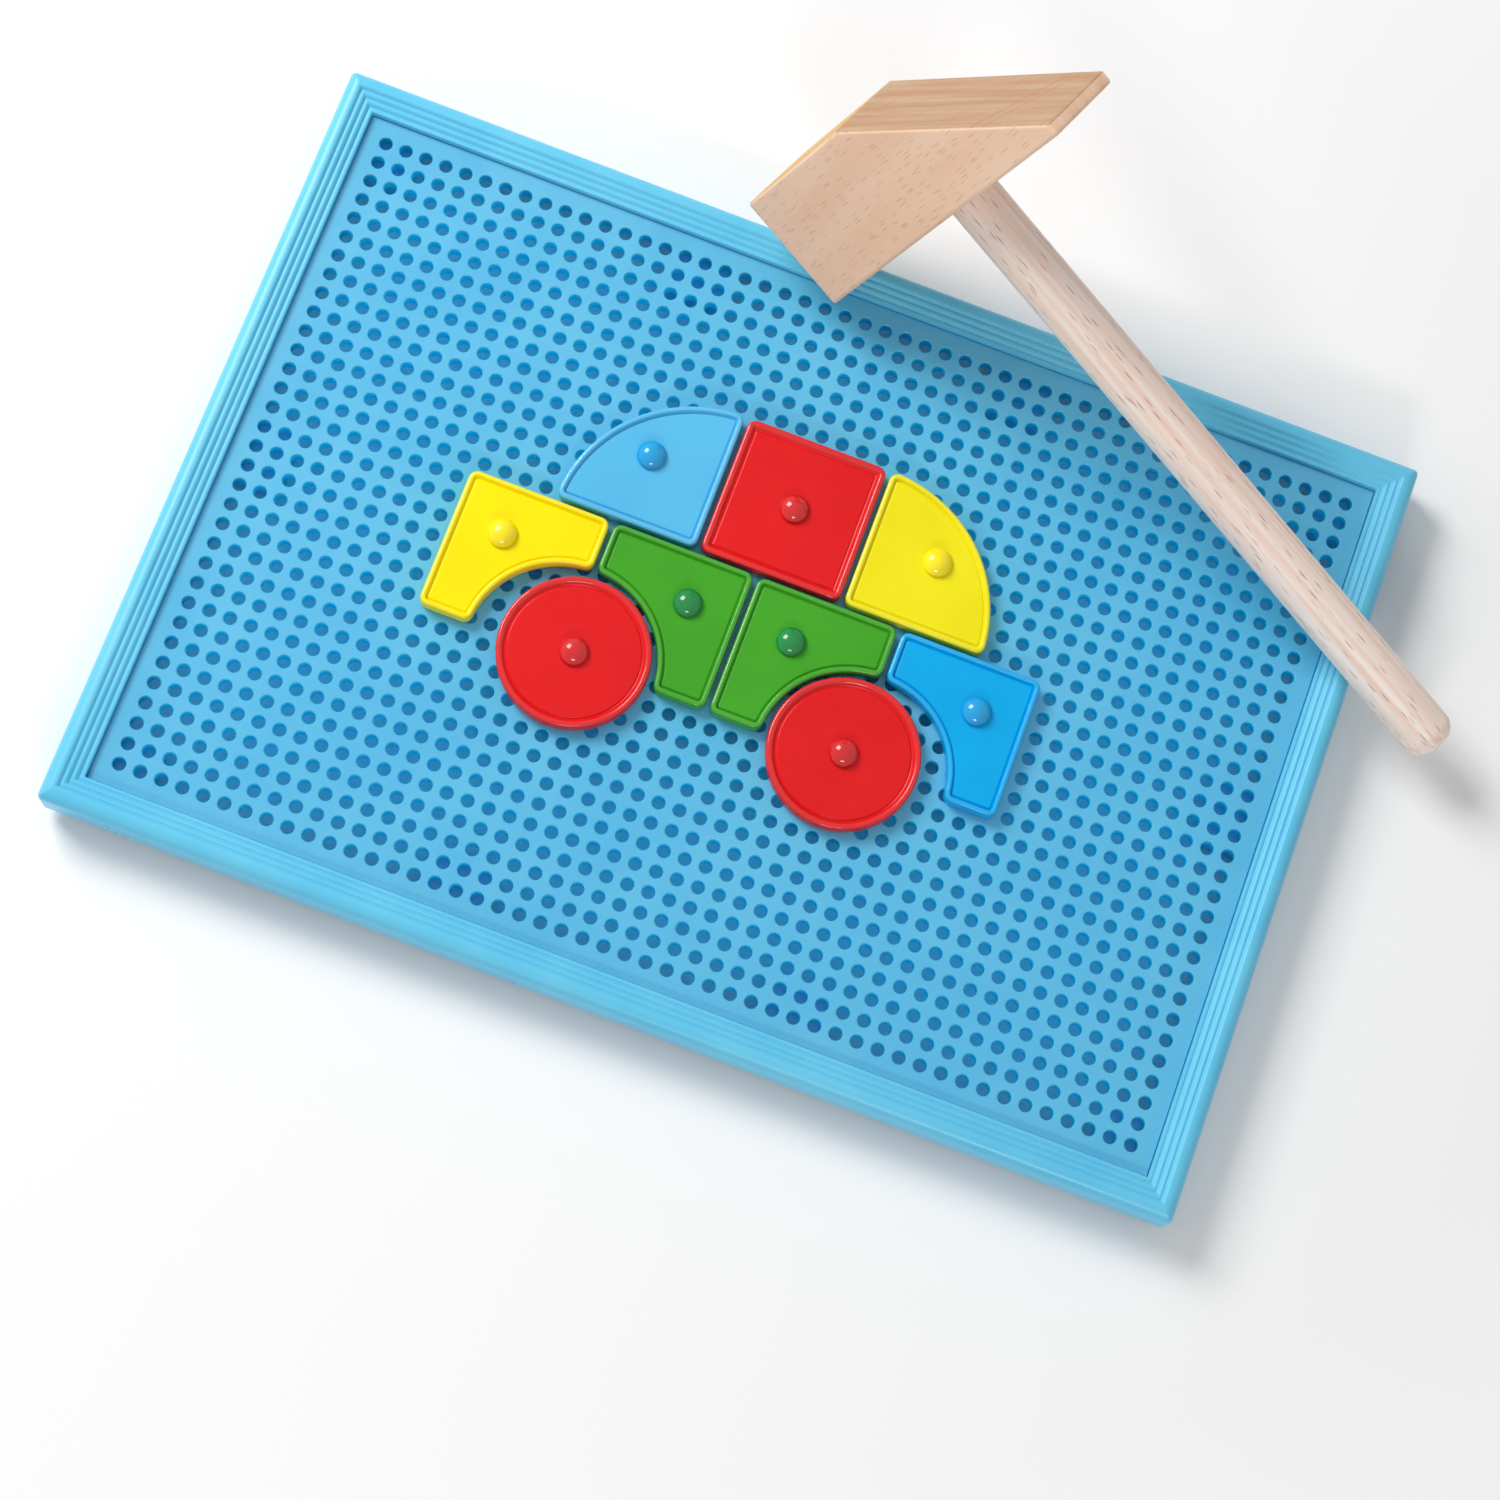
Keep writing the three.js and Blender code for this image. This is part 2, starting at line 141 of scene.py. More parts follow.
@dataclass(frozen=True)
class PlasticFinish:
    """Injection-moulded ABS.

    To the eye that is one full colour with faint flow clouds, a soft sheen on the flat faces and a
    bright line along each rounded bead. A thin wall lets some light through.

    Attributes:
        slot: The record's material slot.
        colour: Main colour.
        shade: Colour of the flow clouds.
        look: What the plastic is moulded into, which ends the material's name.
        made: How the surface was made, which begins it.
        tone: Factor on both colours; below 1 it paints shade.
        painted_nail_shade: That factor on a nail, painted shade that darkens the dome against
            the white reflection on it.
        deep: Colour below the top face, for a piece that is seen into, or None. It is painted
        light: brighter and bluer than the face, it stands in for the light seen down the holes.
        deep_from: Height of the top face in millimetres.
        deep_fade: How far below it the deep colour starts to go and has gone.
        through: Share of the light that passes through the wall, below the top face and on it.
        roughness: Least and greatest roughness.
        specular: Strength of the plain reflection.
        coat: Strength of the clear outer reflection.
        coat_roughness: How far that reflection is spread.
        bead_coat: Its strength on a bead, above the height where the bead rises from the face.
        bead_from: That height in millimetres.
        bead_rise: Rise in millimetres over which the strength changes.
        cloud: Width of a flow cloud in millimetres.
        cloud_range: Values of the noise between which a cloud comes up.
        gloss_range: Values of it between which the roughness changes.
        grain: Width of a grain of the mould's wall in millimetres. A real one is about 0.05 mm,
            too fine to show, so it is drawn as coarse as this.
        relief: Strength of the grain's relief, and its depth in millimetres.
    """

    slot: str
    colour: str
    shade: str
    look: str = "tile"
    made: str = "moulded"
    tone: float = 1.0
    painted_nail_shade: float = 0.88
    deep: str | None = None
    deep_from: float = 0.0
    deep_fade: tuple[float, float] = (0.5, 0.05)
    through: tuple[float, float] = (0.0, 0.0)
    roughness: tuple[float, float] = (0.2, 0.3)
    specular: float = 0.2
    coat: float = 0.0
    coat_roughness: float = 0.06
    bead_coat: float = 0.6
    bead_from: float = 16.25
    bead_rise: float = 0.2
    cloud: float = 22.0
    cloud_range: tuple[float, float] = (0.35, 0.65)
    gloss_range: tuple[float, float] = (0.3, 0.7)
    grain: float = 1.4
    relief: tuple[float, float] = (0.03, 0.2)

    def as_nail(self) -> "PlasticFinish":
        """Returns the plastic of a polished nail head, which shows the lamp as one white spot."""
        # Painted shade: the nail's colours are a darker copy of the plastic's.
        nail = {"look": "nail", "made": "polished", "tone": self.painted_nail_shade}
        return replace(self, **nail, specular=0.0, coat=1.0, coat_roughness=0.12, bead_coat=1.0)

    def material(self) -> bpy.types.Material:
        """Gives this finish's material, made the first time it is asked for.

        Returns:
            The material.
        """
        name = f"{self.made}_abs_{self.slot}_{self.look}"
        if name in bpy.data.materials:
            return bpy.data.materials[name]
        material, tree = new_material(name)
        place = add_node(tree, "ShaderNodeTexCoord").outputs["Object"]
        height = add_node(tree, "ShaderNodeSeparateXYZ", {0: place}).outputs["Z"]
        size = {"Vector": place, "Scale": 1 / (self.cloud * MM), "Detail": 3.0}
        clouds = add_node(tree, "ShaderNodeTexNoise", size).outputs["Fac"]
        low, high = self.cloud_range
        ends = {"Value": clouds, "From Min": low, "From Max": high}
        shaded = add_node(tree, "ShaderNodeMapRange", ends).outputs["Result"]
        # A tone below 1, as a nail has, darkens both colours: painted shade.
        main, shade = (srgb(code, self.tone) for code in (self.colour, self.shade))
        pair = {FACTOR: shaded, FIRST: main, SECOND: shade}
        colour = add_node(tree, "ShaderNodeMix", pair, data_type="RGBA").outputs[BLEND]
        low, high = ((self.deep_from - fade) * MM for fade in self.deep_fade)
        below = {"Value": height, "From Min": low, "From Max": high}
        # Painted light: below the top face the colour turns to the deep one, brighter and bluer,
        # which stands in for the light seen down the holes.
        if self.deep:
            above = add_node(tree, "ShaderNodeMapRange", below).outputs["Result"]
            pair = {FACTOR: above, FIRST: srgb(self.deep), SECOND: colour}
            colour = add_node(tree, "ShaderNodeMix", pair, data_type="RGBA").outputs[BLEND]
        size = {"Vector": place, "Scale": 1 / (self.grain * MM), "Detail": 2.0}
        grain = add_node(tree, "ShaderNodeTexNoise", size).outputs["Fac"]
        strength, depth = self.relief
        relief = {"Strength": strength, "Distance": depth * MM, "Height": grain}
        low, high = self.gloss_range
        least, most = self.roughness
        ends = {"Value": clouds, "From Min": low, "From Max": high, "To Min": least, "To Max": most}
        gloss = self.coat
        if self.bead_coat != self.coat:
            rise = {
                "Value": height,
                "From Min": self.bead_from * MM,
                "From Max": (self.bead_from + self.bead_rise) * MM,
                "To Min": self.coat,
                "To Max": self.bead_coat,
            }
            gloss = add_node(tree, "ShaderNodeMapRange", rise).outputs["Result"]
        surface = {
            "Base Color": colour,
            "Roughness": add_node(tree, "ShaderNodeMapRange", ends).outputs["Result"],
            "Specular IOR Level": self.specular,
            "Coat Weight": gloss,
            "Coat Roughness": self.coat_roughness,
            "Normal": add_node(tree, "ShaderNodeBump", relief).outputs["Normal"],
        }
        shader = add_node(tree, "ShaderNodeBsdfPrincipled", surface).outputs[0]
        if any(self.through):
            low, high = self.through
            ends = {**below, "To Min": low, "To Max": high}
            share = add_node(tree, "ShaderNodeMapRange", ends).outputs["Result"]
            passed = add_node(tree, "ShaderNodeBsdfTranslucent", {"Color": colour}).outputs[0]
            both = {0: share, 1: shader, 2: passed}
            shader = add_node(tree, "ShaderNodeMixShader", both).outputs[0]
        add_node(tree, "ShaderNodeOutputMaterial", {"Surface": shader})
        return material


BOARD_PLASTIC = PlasticFinish(
    "board_blue",
    "5fc3e8",
    "6ac9ea",
    look="frame",
    roughness=(0.26, 0.36),
    specular=0.3,
    bead_coat=0.0,
)


class Plastic(Enum):
    """The plastics of the board, the tiles and the nails."""

    BOARD = BOARD_PLASTIC
    PLATE = replace(
        BOARD_PLASTIC,
        colour="5ec3eb",
        shade="69c9ed",
        look="plate",
        # Painted light: the hole walls are brighter and bluer than the face.
        deep="20e4fa",
        deep_from=12.5,
        through=(0.75, 0.2),
        specular=0.5,
    )
    RED = PlasticFinish("red", "e31a1d", "db171b")
    GREEN = PlasticFinish("green", "44a724", "3f9f22")
    NAIL_GREEN = PlasticFinish("nail_green", "009444", "008a40")
    YELLOW = PlasticFinish("yellow", "ffea00", "f8e300", painted_nail_shade=1.0)
    LEMON = PlasticFinish("yellow", "f4e818", "eee214", look="lemon_tile")
    SKY = PlasticFinish("sky_blue", "00aeef", "00a6e6")
    PALE_SKY = PlasticFinish("pale_blue", "5abeeb", "55b8e6")


@dataclass(frozen=True)
class WoodFinish:
    """Sanded beech without varnish, coloured by the piece's own axes in its "grain" attribute.

    To the eye that is a matt, pale wood with soft bands along the grain and short darker rays, and
    a sawn face that shows the marks of the blade.

    Attributes:
        slot: The record's material slot.
        light: Early wood.
        dark: Late wood.
        fleck: Short dark rays in the wood.
        band: Size of the growth bands along the three axes in millimetres.
        ray: Size of a ray along the three axes in millimetres. A real one is about 0.2 mm wide,
            too fine to show, so it is drawn as coarse as this.
        band_range: Values of the noise between early and late wood.
        ray_range: Distances from a cell's middle between which a ray ends.
        fleck_share: Share of the places without a ray.
        fleck_fade: Share beyond it over which the rays come up.
        fleck_depth: How much of the rays' colour shows.
        top: Colour of the top face, from which height on, or None.
        top_fade: How far below that height the colour starts and is full, in millimetres.
        top_share: How much of it shows.
        bevel: Colour of the sawn bevel, or None.
        bevel_plane: The bevel's normal along the first two axes and its distance from the origin.
        bevel_fade: How far below the bevel its colour starts and is full, in millimetres.
        late_share: How much of the rays' colour the late wood takes on the bevel.
        saw_mark: Spacing of the saw marks in millimetres.
        saw_slant: How far the marks lean across the bevel.
        saw_range: Values of the noise between which a mark comes up.
        saw_depth: How much of a mark shows.
        relief: Strength of the grain's relief, and its depth in millimetres.
        roughness: Roughness of early and of late wood.
        specular: Strength of the plain reflection.
    """

    slot: str
    light: str
    dark: str
    fleck: str
    band: tuple[float, float, float]
    ray: tuple[float, float, float]
    band_range: tuple[float, float] = (0.32, 0.68)
    ray_range: tuple[float, float] = (0.15, 0.35)
    fleck_share: float = 0.6
    fleck_fade: float = 0.2
    fleck_depth: float = 0.6
    top: tuple[str, float] | None = None
    top_fade: tuple[float, float] = (0.4, 0.1)
    top_share: float = 0.9
    bevel: str | None = None
    bevel_plane: tuple[float, float, float] = (0.0, 0.0, 0.0)
    bevel_fade: tuple[float, float] = (0.5, 0.2)
    late_share: float = 0.6
    saw_mark: float = 1.8
    saw_slant: float = 0.55
    saw_range: tuple[float, float] = (0.56, 0.72)
    saw_depth: float = 0.55
    relief: tuple[float, float] = (0.12, 0.3)
    roughness: tuple[float, float] = (0.5, 0.65)
    specular: float = 0.3

    def material(self) -> bpy.types.Material:
        """Gives this finish's material, made the first time it is asked for.

        Returns:
            The material.
        """
        name = f"sanded_beech_{self.slot}"
        if name in bpy.data.materials:
            return bpy.data.materials[name]
        material, tree = new_material(name)
        grain = add_node(tree, "ShaderNodeAttribute", attribute_name="grain").outputs["Vector"]
        bands = self.bands(tree, grain)
        pair = {FACTOR: bands, FIRST: srgb(self.light), SECOND: srgb(self.dark)}
        colour = add_node(tree, "ShaderNodeMix", pair, data_type="RGBA").outputs[BLEND]
        height = bands
        if self.top:
            shade, level = self.top
            low, high = (level - fade for fade in self.top_fade)
            up = add_node(tree, "ShaderNodeSeparateXYZ", {0: grain}).outputs["Y"]
            ends = {"Value": up, "From Min": low, "From Max": high, "To Max": self.top_share}
            on_top = add_node(tree, "ShaderNodeMapRange", ends).outputs["Result"]
            pair = {FACTOR: on_top, FIRST: colour, SECOND: srgb(shade)}
            colour = add_node(tree, "ShaderNodeMix", pair, data_type="RGBA").outputs[BLEND]
        if self.bevel:
            colour, height = self.sawn(tree, grain, bands, colour)
        pair = {FACTOR: self.flecks(tree, grain), FIRST: colour, SECOND: srgb(self.fleck)}
        colour = add_node(tree, "ShaderNodeMix", pair, data_type="RGBA").outputs[BLEND]
        strength, depth = self.relief
        relief = {"Strength": strength, "Distance": depth * MM, "Height": height}
        early, late = self.roughness
        ends = {"Value": bands, "To Min": early, "To Max": late}
        surface = {
            "Base Color": colour,
            "Roughness": add_node(tree, "ShaderNodeMapRange", ends).outputs["Result"],
            "Specular IOR Level": self.specular,
            "Normal": add_node(tree, "ShaderNodeBump", relief).outputs["Normal"],
        }
        shader = add_node(tree, "ShaderNodeBsdfPrincipled", surface)
        add_node(tree, "ShaderNodeOutputMaterial", {"Surface": shader.outputs[0]})
        return material

    def bands(self, tree: bpy.types.NodeTree, grain: bpy.types.NodeSocket) -> bpy.types.NodeSocket:
        """Growth bands: noise drawn out along the grain.

        Args:
            tree: Node tree of the material.
            grain: The piece's own axes in millimetres.

        Returns:
            A value from 0 in early wood to 1 in late wood.
        """
        pair = {0: grain, 1: self.band}
        stretched = add_node(tree, "ShaderNodeVectorMath", pair, operation="DIVIDE").outputs[0]
        size = {"Vector": stretched, "Scale": 1.0, "Detail": 4.0}
        noise = add_node(tree, "ShaderNodeTexNoise", size).outputs["Fac"]
        low, high = self.band_range
        ends = {"Value": noise, "From Min": low, "From Max": high}
        return add_node(tree, "ShaderNodeMapRange", ends).outputs["Result"]

    def flecks(self, tree: bpy.types.NodeTree, grain: bpy.types.NodeSocket) -> bpy.types.NodeSocket:
        """Rays along the grain: the middles of some cells of a stretched cell pattern.

        Args:
            tree: Node tree of the material.
            grain: The piece's own axes in millimetres.

        Returns:
            The share of the rays' colour.
        """
        pair = {0: grain, 1: self.ray}
        stretched = add_node(tree, "ShaderNodeVectorMath", pair, operation="DIVIDE").outputs[0]
        cells = add_node(tree, "ShaderNodeTexVoronoi", {"Vector": stretched, "Scale": 1.0})
        low, high = self.ray_range
        ends = {"Value": cells.outputs["Distance"], "From Min": low, "From Max": high}
        depth = {"To Min": self.fleck_depth, "To Max": 0.0}
        dash = add_node(tree, "ShaderNodeMapRange", {**ends, **depth}).outputs["Result"]
        chance = add_node(tree, "ShaderNodeSeparateColor", {0: cells.outputs["Color"]}).outputs[0]
        least = self.fleck_share
        ends = {"Value": chance, "From Min": least, "From Max": least + self.fleck_fade}
        kept = add_node(tree, "ShaderNodeMapRange", ends).outputs["Result"]
        return add_node(tree, "ShaderNodeMath", {0: dash, 1: kept}, operation="MULTIPLY").outputs[0]

    def sawn(
        self,
        tree: bpy.types.NodeTree,
        grain: bpy.types.NodeSocket,
        bands: bpy.types.NodeSocket,
        colour: bpy.types.NodeSocket,
    ) -> tuple[bpy.types.NodeSocket, bpy.types.NodeSocket]:
        """Colours the bevel and scores it with slanting saw marks.

        Args:
            tree: Node tree of the material.
            grain: The piece's own axes in millimetres.
            bands: Growth bands, which stay visible on the bevel.
            colour: Colour of the rest of the wood.

        Returns:
            The new colour and the height for the bump.
        """
        across, up, distance = self.bevel_plane
        pair = {0: grain, 1: (across, up, 0.0)}
        off = add_node(tree, "ShaderNodeVectorMath", pair, operation="DOT_PRODUCT").outputs["Value"]
        low, high = (distance - fade for fade in self.bevel_fade)
        ends = {"Value": off, "From Min": low, "From Max": high}
        on_bevel = add_node(tree, "ShaderNodeMapRange", ends).outputs["Result"]
        pair = {0: grain, 1: (up, -across, self.saw_slant)}
        run = add_node(tree, "ShaderNodeVectorMath", pair, operation="DOT_PRODUCT").outputs["Value"]
        size = {"W": run, "Scale": 1 / self.saw_mark, "Detail": 3.0, "Roughness": 0.7}
        marks = add_node(tree, "ShaderNodeTexNoise", size, noise_dimensions="1D").outputs["Fac"]
        low, high = self.saw_range
        ends = {"Value": marks, "From Min": low, "From Max": high, "To Max": self.saw_depth}
        depth = add_node(tree, "ShaderNodeMapRange", ends).outputs["Result"]
        pair = {0: depth, 1: on_bevel}
        scored = add_node(tree, "ShaderNodeMath", pair, operation="MULTIPLY").outputs[0]
        ends = {"Value": bands, "To Max": self.late_share}
        late = add_node(tree, "ShaderNodeMapRange", ends).outputs["Result"]
        pair = {FACTOR: late, FIRST: srgb(self.bevel), SECOND: srgb(self.fleck)}
        bevel = add_node(tree, "ShaderNodeMix", pair, data_type="RGBA").outputs[BLEND]
        for share, paint in ((on_bevel, bevel), (scored, srgb(self.fleck))):
            pair = {FACTOR: share, FIRST: colour, SECOND: paint}
            colour = add_node(tree, "ShaderNodeMix", pair, data_type="RGBA").outputs[BLEND]
        pair = {0: bands, 1: scored}
        height = add_node(tree, "ShaderNodeMath", pair, operation="SUBTRACT").outputs[0]
        return colour, height


@dataclass
class Skin:
    """A closed surface in millimetres, before it becomes a mesh.

    Attributes:
        points: Corners, one row each.
        quads: Four-sided faces, as rows of corner numbers.
        caps: Flat faces with any number of corners.
    """

    points: np.ndarray
    quads: np.ndarray
    caps: list[np.ndarray] = field(default_factory=list)

    def placed(self, turn: np.ndarray, shift: np.ndarray) -> "Skin":
        """Returns the surface turned by a matrix and then moved."""
        return Skin(self.points @ turn.T + shift, self.quads, self.caps)


def loft(rings: np.ndarray, closed: bool) -> Skin:
    """Surface through rings of equal count, a grid of ring number and place on the ring.

    Args:
        rings: Array of ring, place and coordinate. Places run anticlockwise about +Z as the rings
            rise.
        closed: True joins the last ring to the first, False closes both ends with a flat cap.

    Returns:
        The surface with its faces outward.
    """
    count, places = rings.shape[:2]
    number = np.arange(count * places).reshape(count, places)
    low = number if closed else number[:-1]
    high = np.roll(number, -1, 0) if closed else number[1:]
    quads = np.stack([low, np.roll(low, -1, 1), np.roll(high, -1, 1), high], -1).reshape(-1, 4)
    caps = [] if closed else [number[0, ::-1], number[-1]]
    return Skin(rings.reshape(-1, 3), quads, caps)


def joined(skins: Sequence[Skin]) -> Skin:
    """Gathers several surfaces into one, with their corners numbered on.

    Args:
        skins: The surfaces.

    Returns:
        One surface with all their faces.
    """
    starts = np.cumsum([0] + [len(skin.points) for skin in skins[:-1]])
    return Skin(
        np.concatenate([skin.points for skin in skins]),
        np.concatenate([skin.quads + start for skin, start in zip(skins, starts)]),
        [cap + start for skin, start in zip(skins, starts) for cap in skin.caps],
    )


def make_piece(
    name: str,
    skin: Skin,
    node: str,
    finish: PlasticFinish | WoodFinish,
    grain: np.ndarray | None = None,
    sharp: float = 35.0,
) -> bpy.types.Object:
    """Makes a mesh object that stands for a CAD node and rides on that node's body.

    Args:
        name: Name of the piece.
        skin: Its surface.
        node: CAD node that it replaces.
        finish: Its finish, which also gives the record's slot.
        grain: The wood's own axes at each corner, or None.
        sharp: Angle in degrees above which an edge stays sharp.

    Returns:
        The new object.
    """
    mesh = bpy.data.meshes.new(name)
    faces = skin.quads.tolist() + [cap.tolist() for cap in skin.caps]
    mesh.from_pydata((skin.points * MM).tolist(), [], faces)
    mesh.polygons.foreach_set("use_smooth", np.ones(len(mesh.polygons), bool))
    mesh.set_sharp_from_angle(angle=math.radians(sharp))
    if grain is not None:
        layer = mesh.attributes.new("grain", "FLOAT_VECTOR", "POINT")
        layer.data.foreach_set("vector", grain.astype(np.float32).ravel())
    mesh.materials.append(finish.material())
    piece = bpy.data.objects.new(name, mesh)
    bpy.context.scene.collection.objects.link(piece)
    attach(piece, frame["nodes"][node]["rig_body"])
    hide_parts(node)
    return piece


def at_height(plan: np.ndarray, height: float) -> np.ndarray:
    """Lifts points of a plan to one height."""
    return np.column_stack([plan, np.full(len(plan), height)])


class Arc(NamedTuple):
    """Part of an outline.

    Attributes:
        x: Centre of the arc along the first axis.
        y: The same along the second.
        radius: Its radius.
        start: First angle in radians.
        end: Last angle in radians.
        hollow: True where the outline curves inward.
    """

    x: float
    y: float
    radius: float
    start: float
    end: float
    hollow: bool = False


@dataclass(frozen=True)
class Outline:
    """A closed plane curve that can be inset.

    Attributes:
        points: Places along the curve, anticlockwise.
        normals: Outward directions there.
        radii: Radius of the corner that a place is on, or infinity.
        mitres: How a corner's middle moves for each unit of inset beyond its radius.
    """

    points: np.ndarray
    normals: np.ndarray
    radii: np.ndarray
    mitres: np.ndarray

    @classmethod
    def through(cls, arcs: Sequence[Arc], spacing: float) -> "Outline":
        """Arcs in anticlockwise order, with straight lines between them.

        Args:
            arcs: The arcs; each ends in the direction of the line to the next.
            spacing: Greatest distance between points.

        Returns:
            The outline.
        """
        bends = []
        for arc in arcs:
            length = abs(arc.end - arc.start) * arc.radius
            steps = max(CORNER_STEPS, math.ceil(length / spacing))
            angle = np.linspace(arc.start, arc.end, steps + 1)
            ray = np.stack([np.cos(angle), np.sin(angle)], 1)
            normal = -ray if arc.hollow else ray
            mitre = (normal[0] + normal[-1]) / (1 + normal[0] @ normal[-1])
            radius = np.inf if arc.hollow else arc.radius
            full = np.full((steps + 1, 1), radius)
            point = np.array([arc.x, arc.y]) + arc.radius * ray
            bends.append(np.hstack([point, normal, full, np.tile(mitre, (steps + 1, 1))]))
        # Columns are point, normal, radius and mitre. A line has its corner's normal and no radius.
        rows = []
        for bend, after in zip(bends, bends[1:] + bends[:1]):
            first, last = bend[-1, :2], after[0, :2]
            steps = max(1, math.ceil(np.linalg.norm(last - first) / spacing))
            share = np.linspace(0, 1, steps + 1)[1:-1, None]
            line = np.tile(bend[-1], (len(share), 1))
            line[:, :2] = first + share * (last - first)
            line[:, 4] = np.inf
            rows += [bend, line]
        table = np.concatenate(rows)
        gap = np.linalg.norm(table[:, :2] - np.roll(table[:, :2], -1, 0), axis=1)
        table = table[gap > SAME_PLACE]
        return cls(table[:, :2], table[:, 2:4], table[:, 4:5], table[:, 5:])

    def inset(self, distance: float, height: float) -> np.ndarray:
        """Moves each point against its normal, and beyond the corner's radius along its mitre.

        Args:
            distance: How far inward.
            height: Height of the moved curve.

        Returns:
            The moved points, one row each.
        """
        within = np.minimum(distance, self.radii)
        plan = self.points - within * self.normals - (distance - within) * self.mitres
        return at_height(plan, height)

    def turned(self, quarters: int) -> "Outline":
        """Turns the outline anticlockwise.

        Args:
            quarters: Number of quarter turns.

        Returns:
            The turned outline.
        """
        c, d = ((1, 0), (0, 1), (-1, 0), (0, -1))[quarters % 4]
        turn = np.array([[c, -d], [d, c]])
        rows = (self.points, self.normals, self.mitres)
        points, normals, mitres = (row @ turn.T for row in rows)
        return Outline(points, normals, self.radii, mitres)


def rounded_polygon(corners: np.ndarray, radius: float) -> list[Arc]:
    """Corner arcs of a convex polygon: each centre lies one radius inside both edges of its corner.

    Args:
        corners: The polygon's corners, anticlockwise, one row each.
        radius: Radius of all corners.

    Returns:
        One arc for each corner.
    """
    into = corners - np.roll(corners, 1, 0)
    into /= np.linalg.norm(into, axis=1, keepdims=True)
    normal_in = np.stack([into[:, 1], -into[:, 0]], 1)
    normal_out = np.roll(normal_in, -1, 0)
    share = 1 + (normal_in * normal_out).sum(1, keepdims=True)
    centre = corners - radius * (normal_in + normal_out) / share
    start = np.arctan2(normal_in[:, 1], normal_in[:, 0])
    sweep = np.mod(np.arctan2(normal_out[:, 1], normal_out[:, 0]) - start, 2 * np.pi)
    return [Arc(*c, radius, a, a + s) for c, a, s in zip(centre, start, sweep)]


def rectangle_ring(half_x: float, half_y: float, radius: float, steps: int) -> np.ndarray:
    """Rectangle about the origin with a quarter circle at each corner.

    Args:
        half_x: Half its length.
        half_y: Half its width.
        radius: Radius of the corners.
        steps: Straight pieces in a corner.

    Returns:
        Points in plan, one row each, anticlockwise from the lower right corner.
    """
    corner = np.array([[1, -1], [1, 1], [-1, 1], [-1, -1]])
    angle = np.linspace(-QUARTER, 0, steps + 1) + np.arange(4)[:, None] * QUARTER
    ray = radius * np.stack([np.cos(angle), np.sin(angle)], -1)
    return (corner[:, None] * np.array([half_x - radius, half_y - radius]) + ray).reshape(-1, 2)


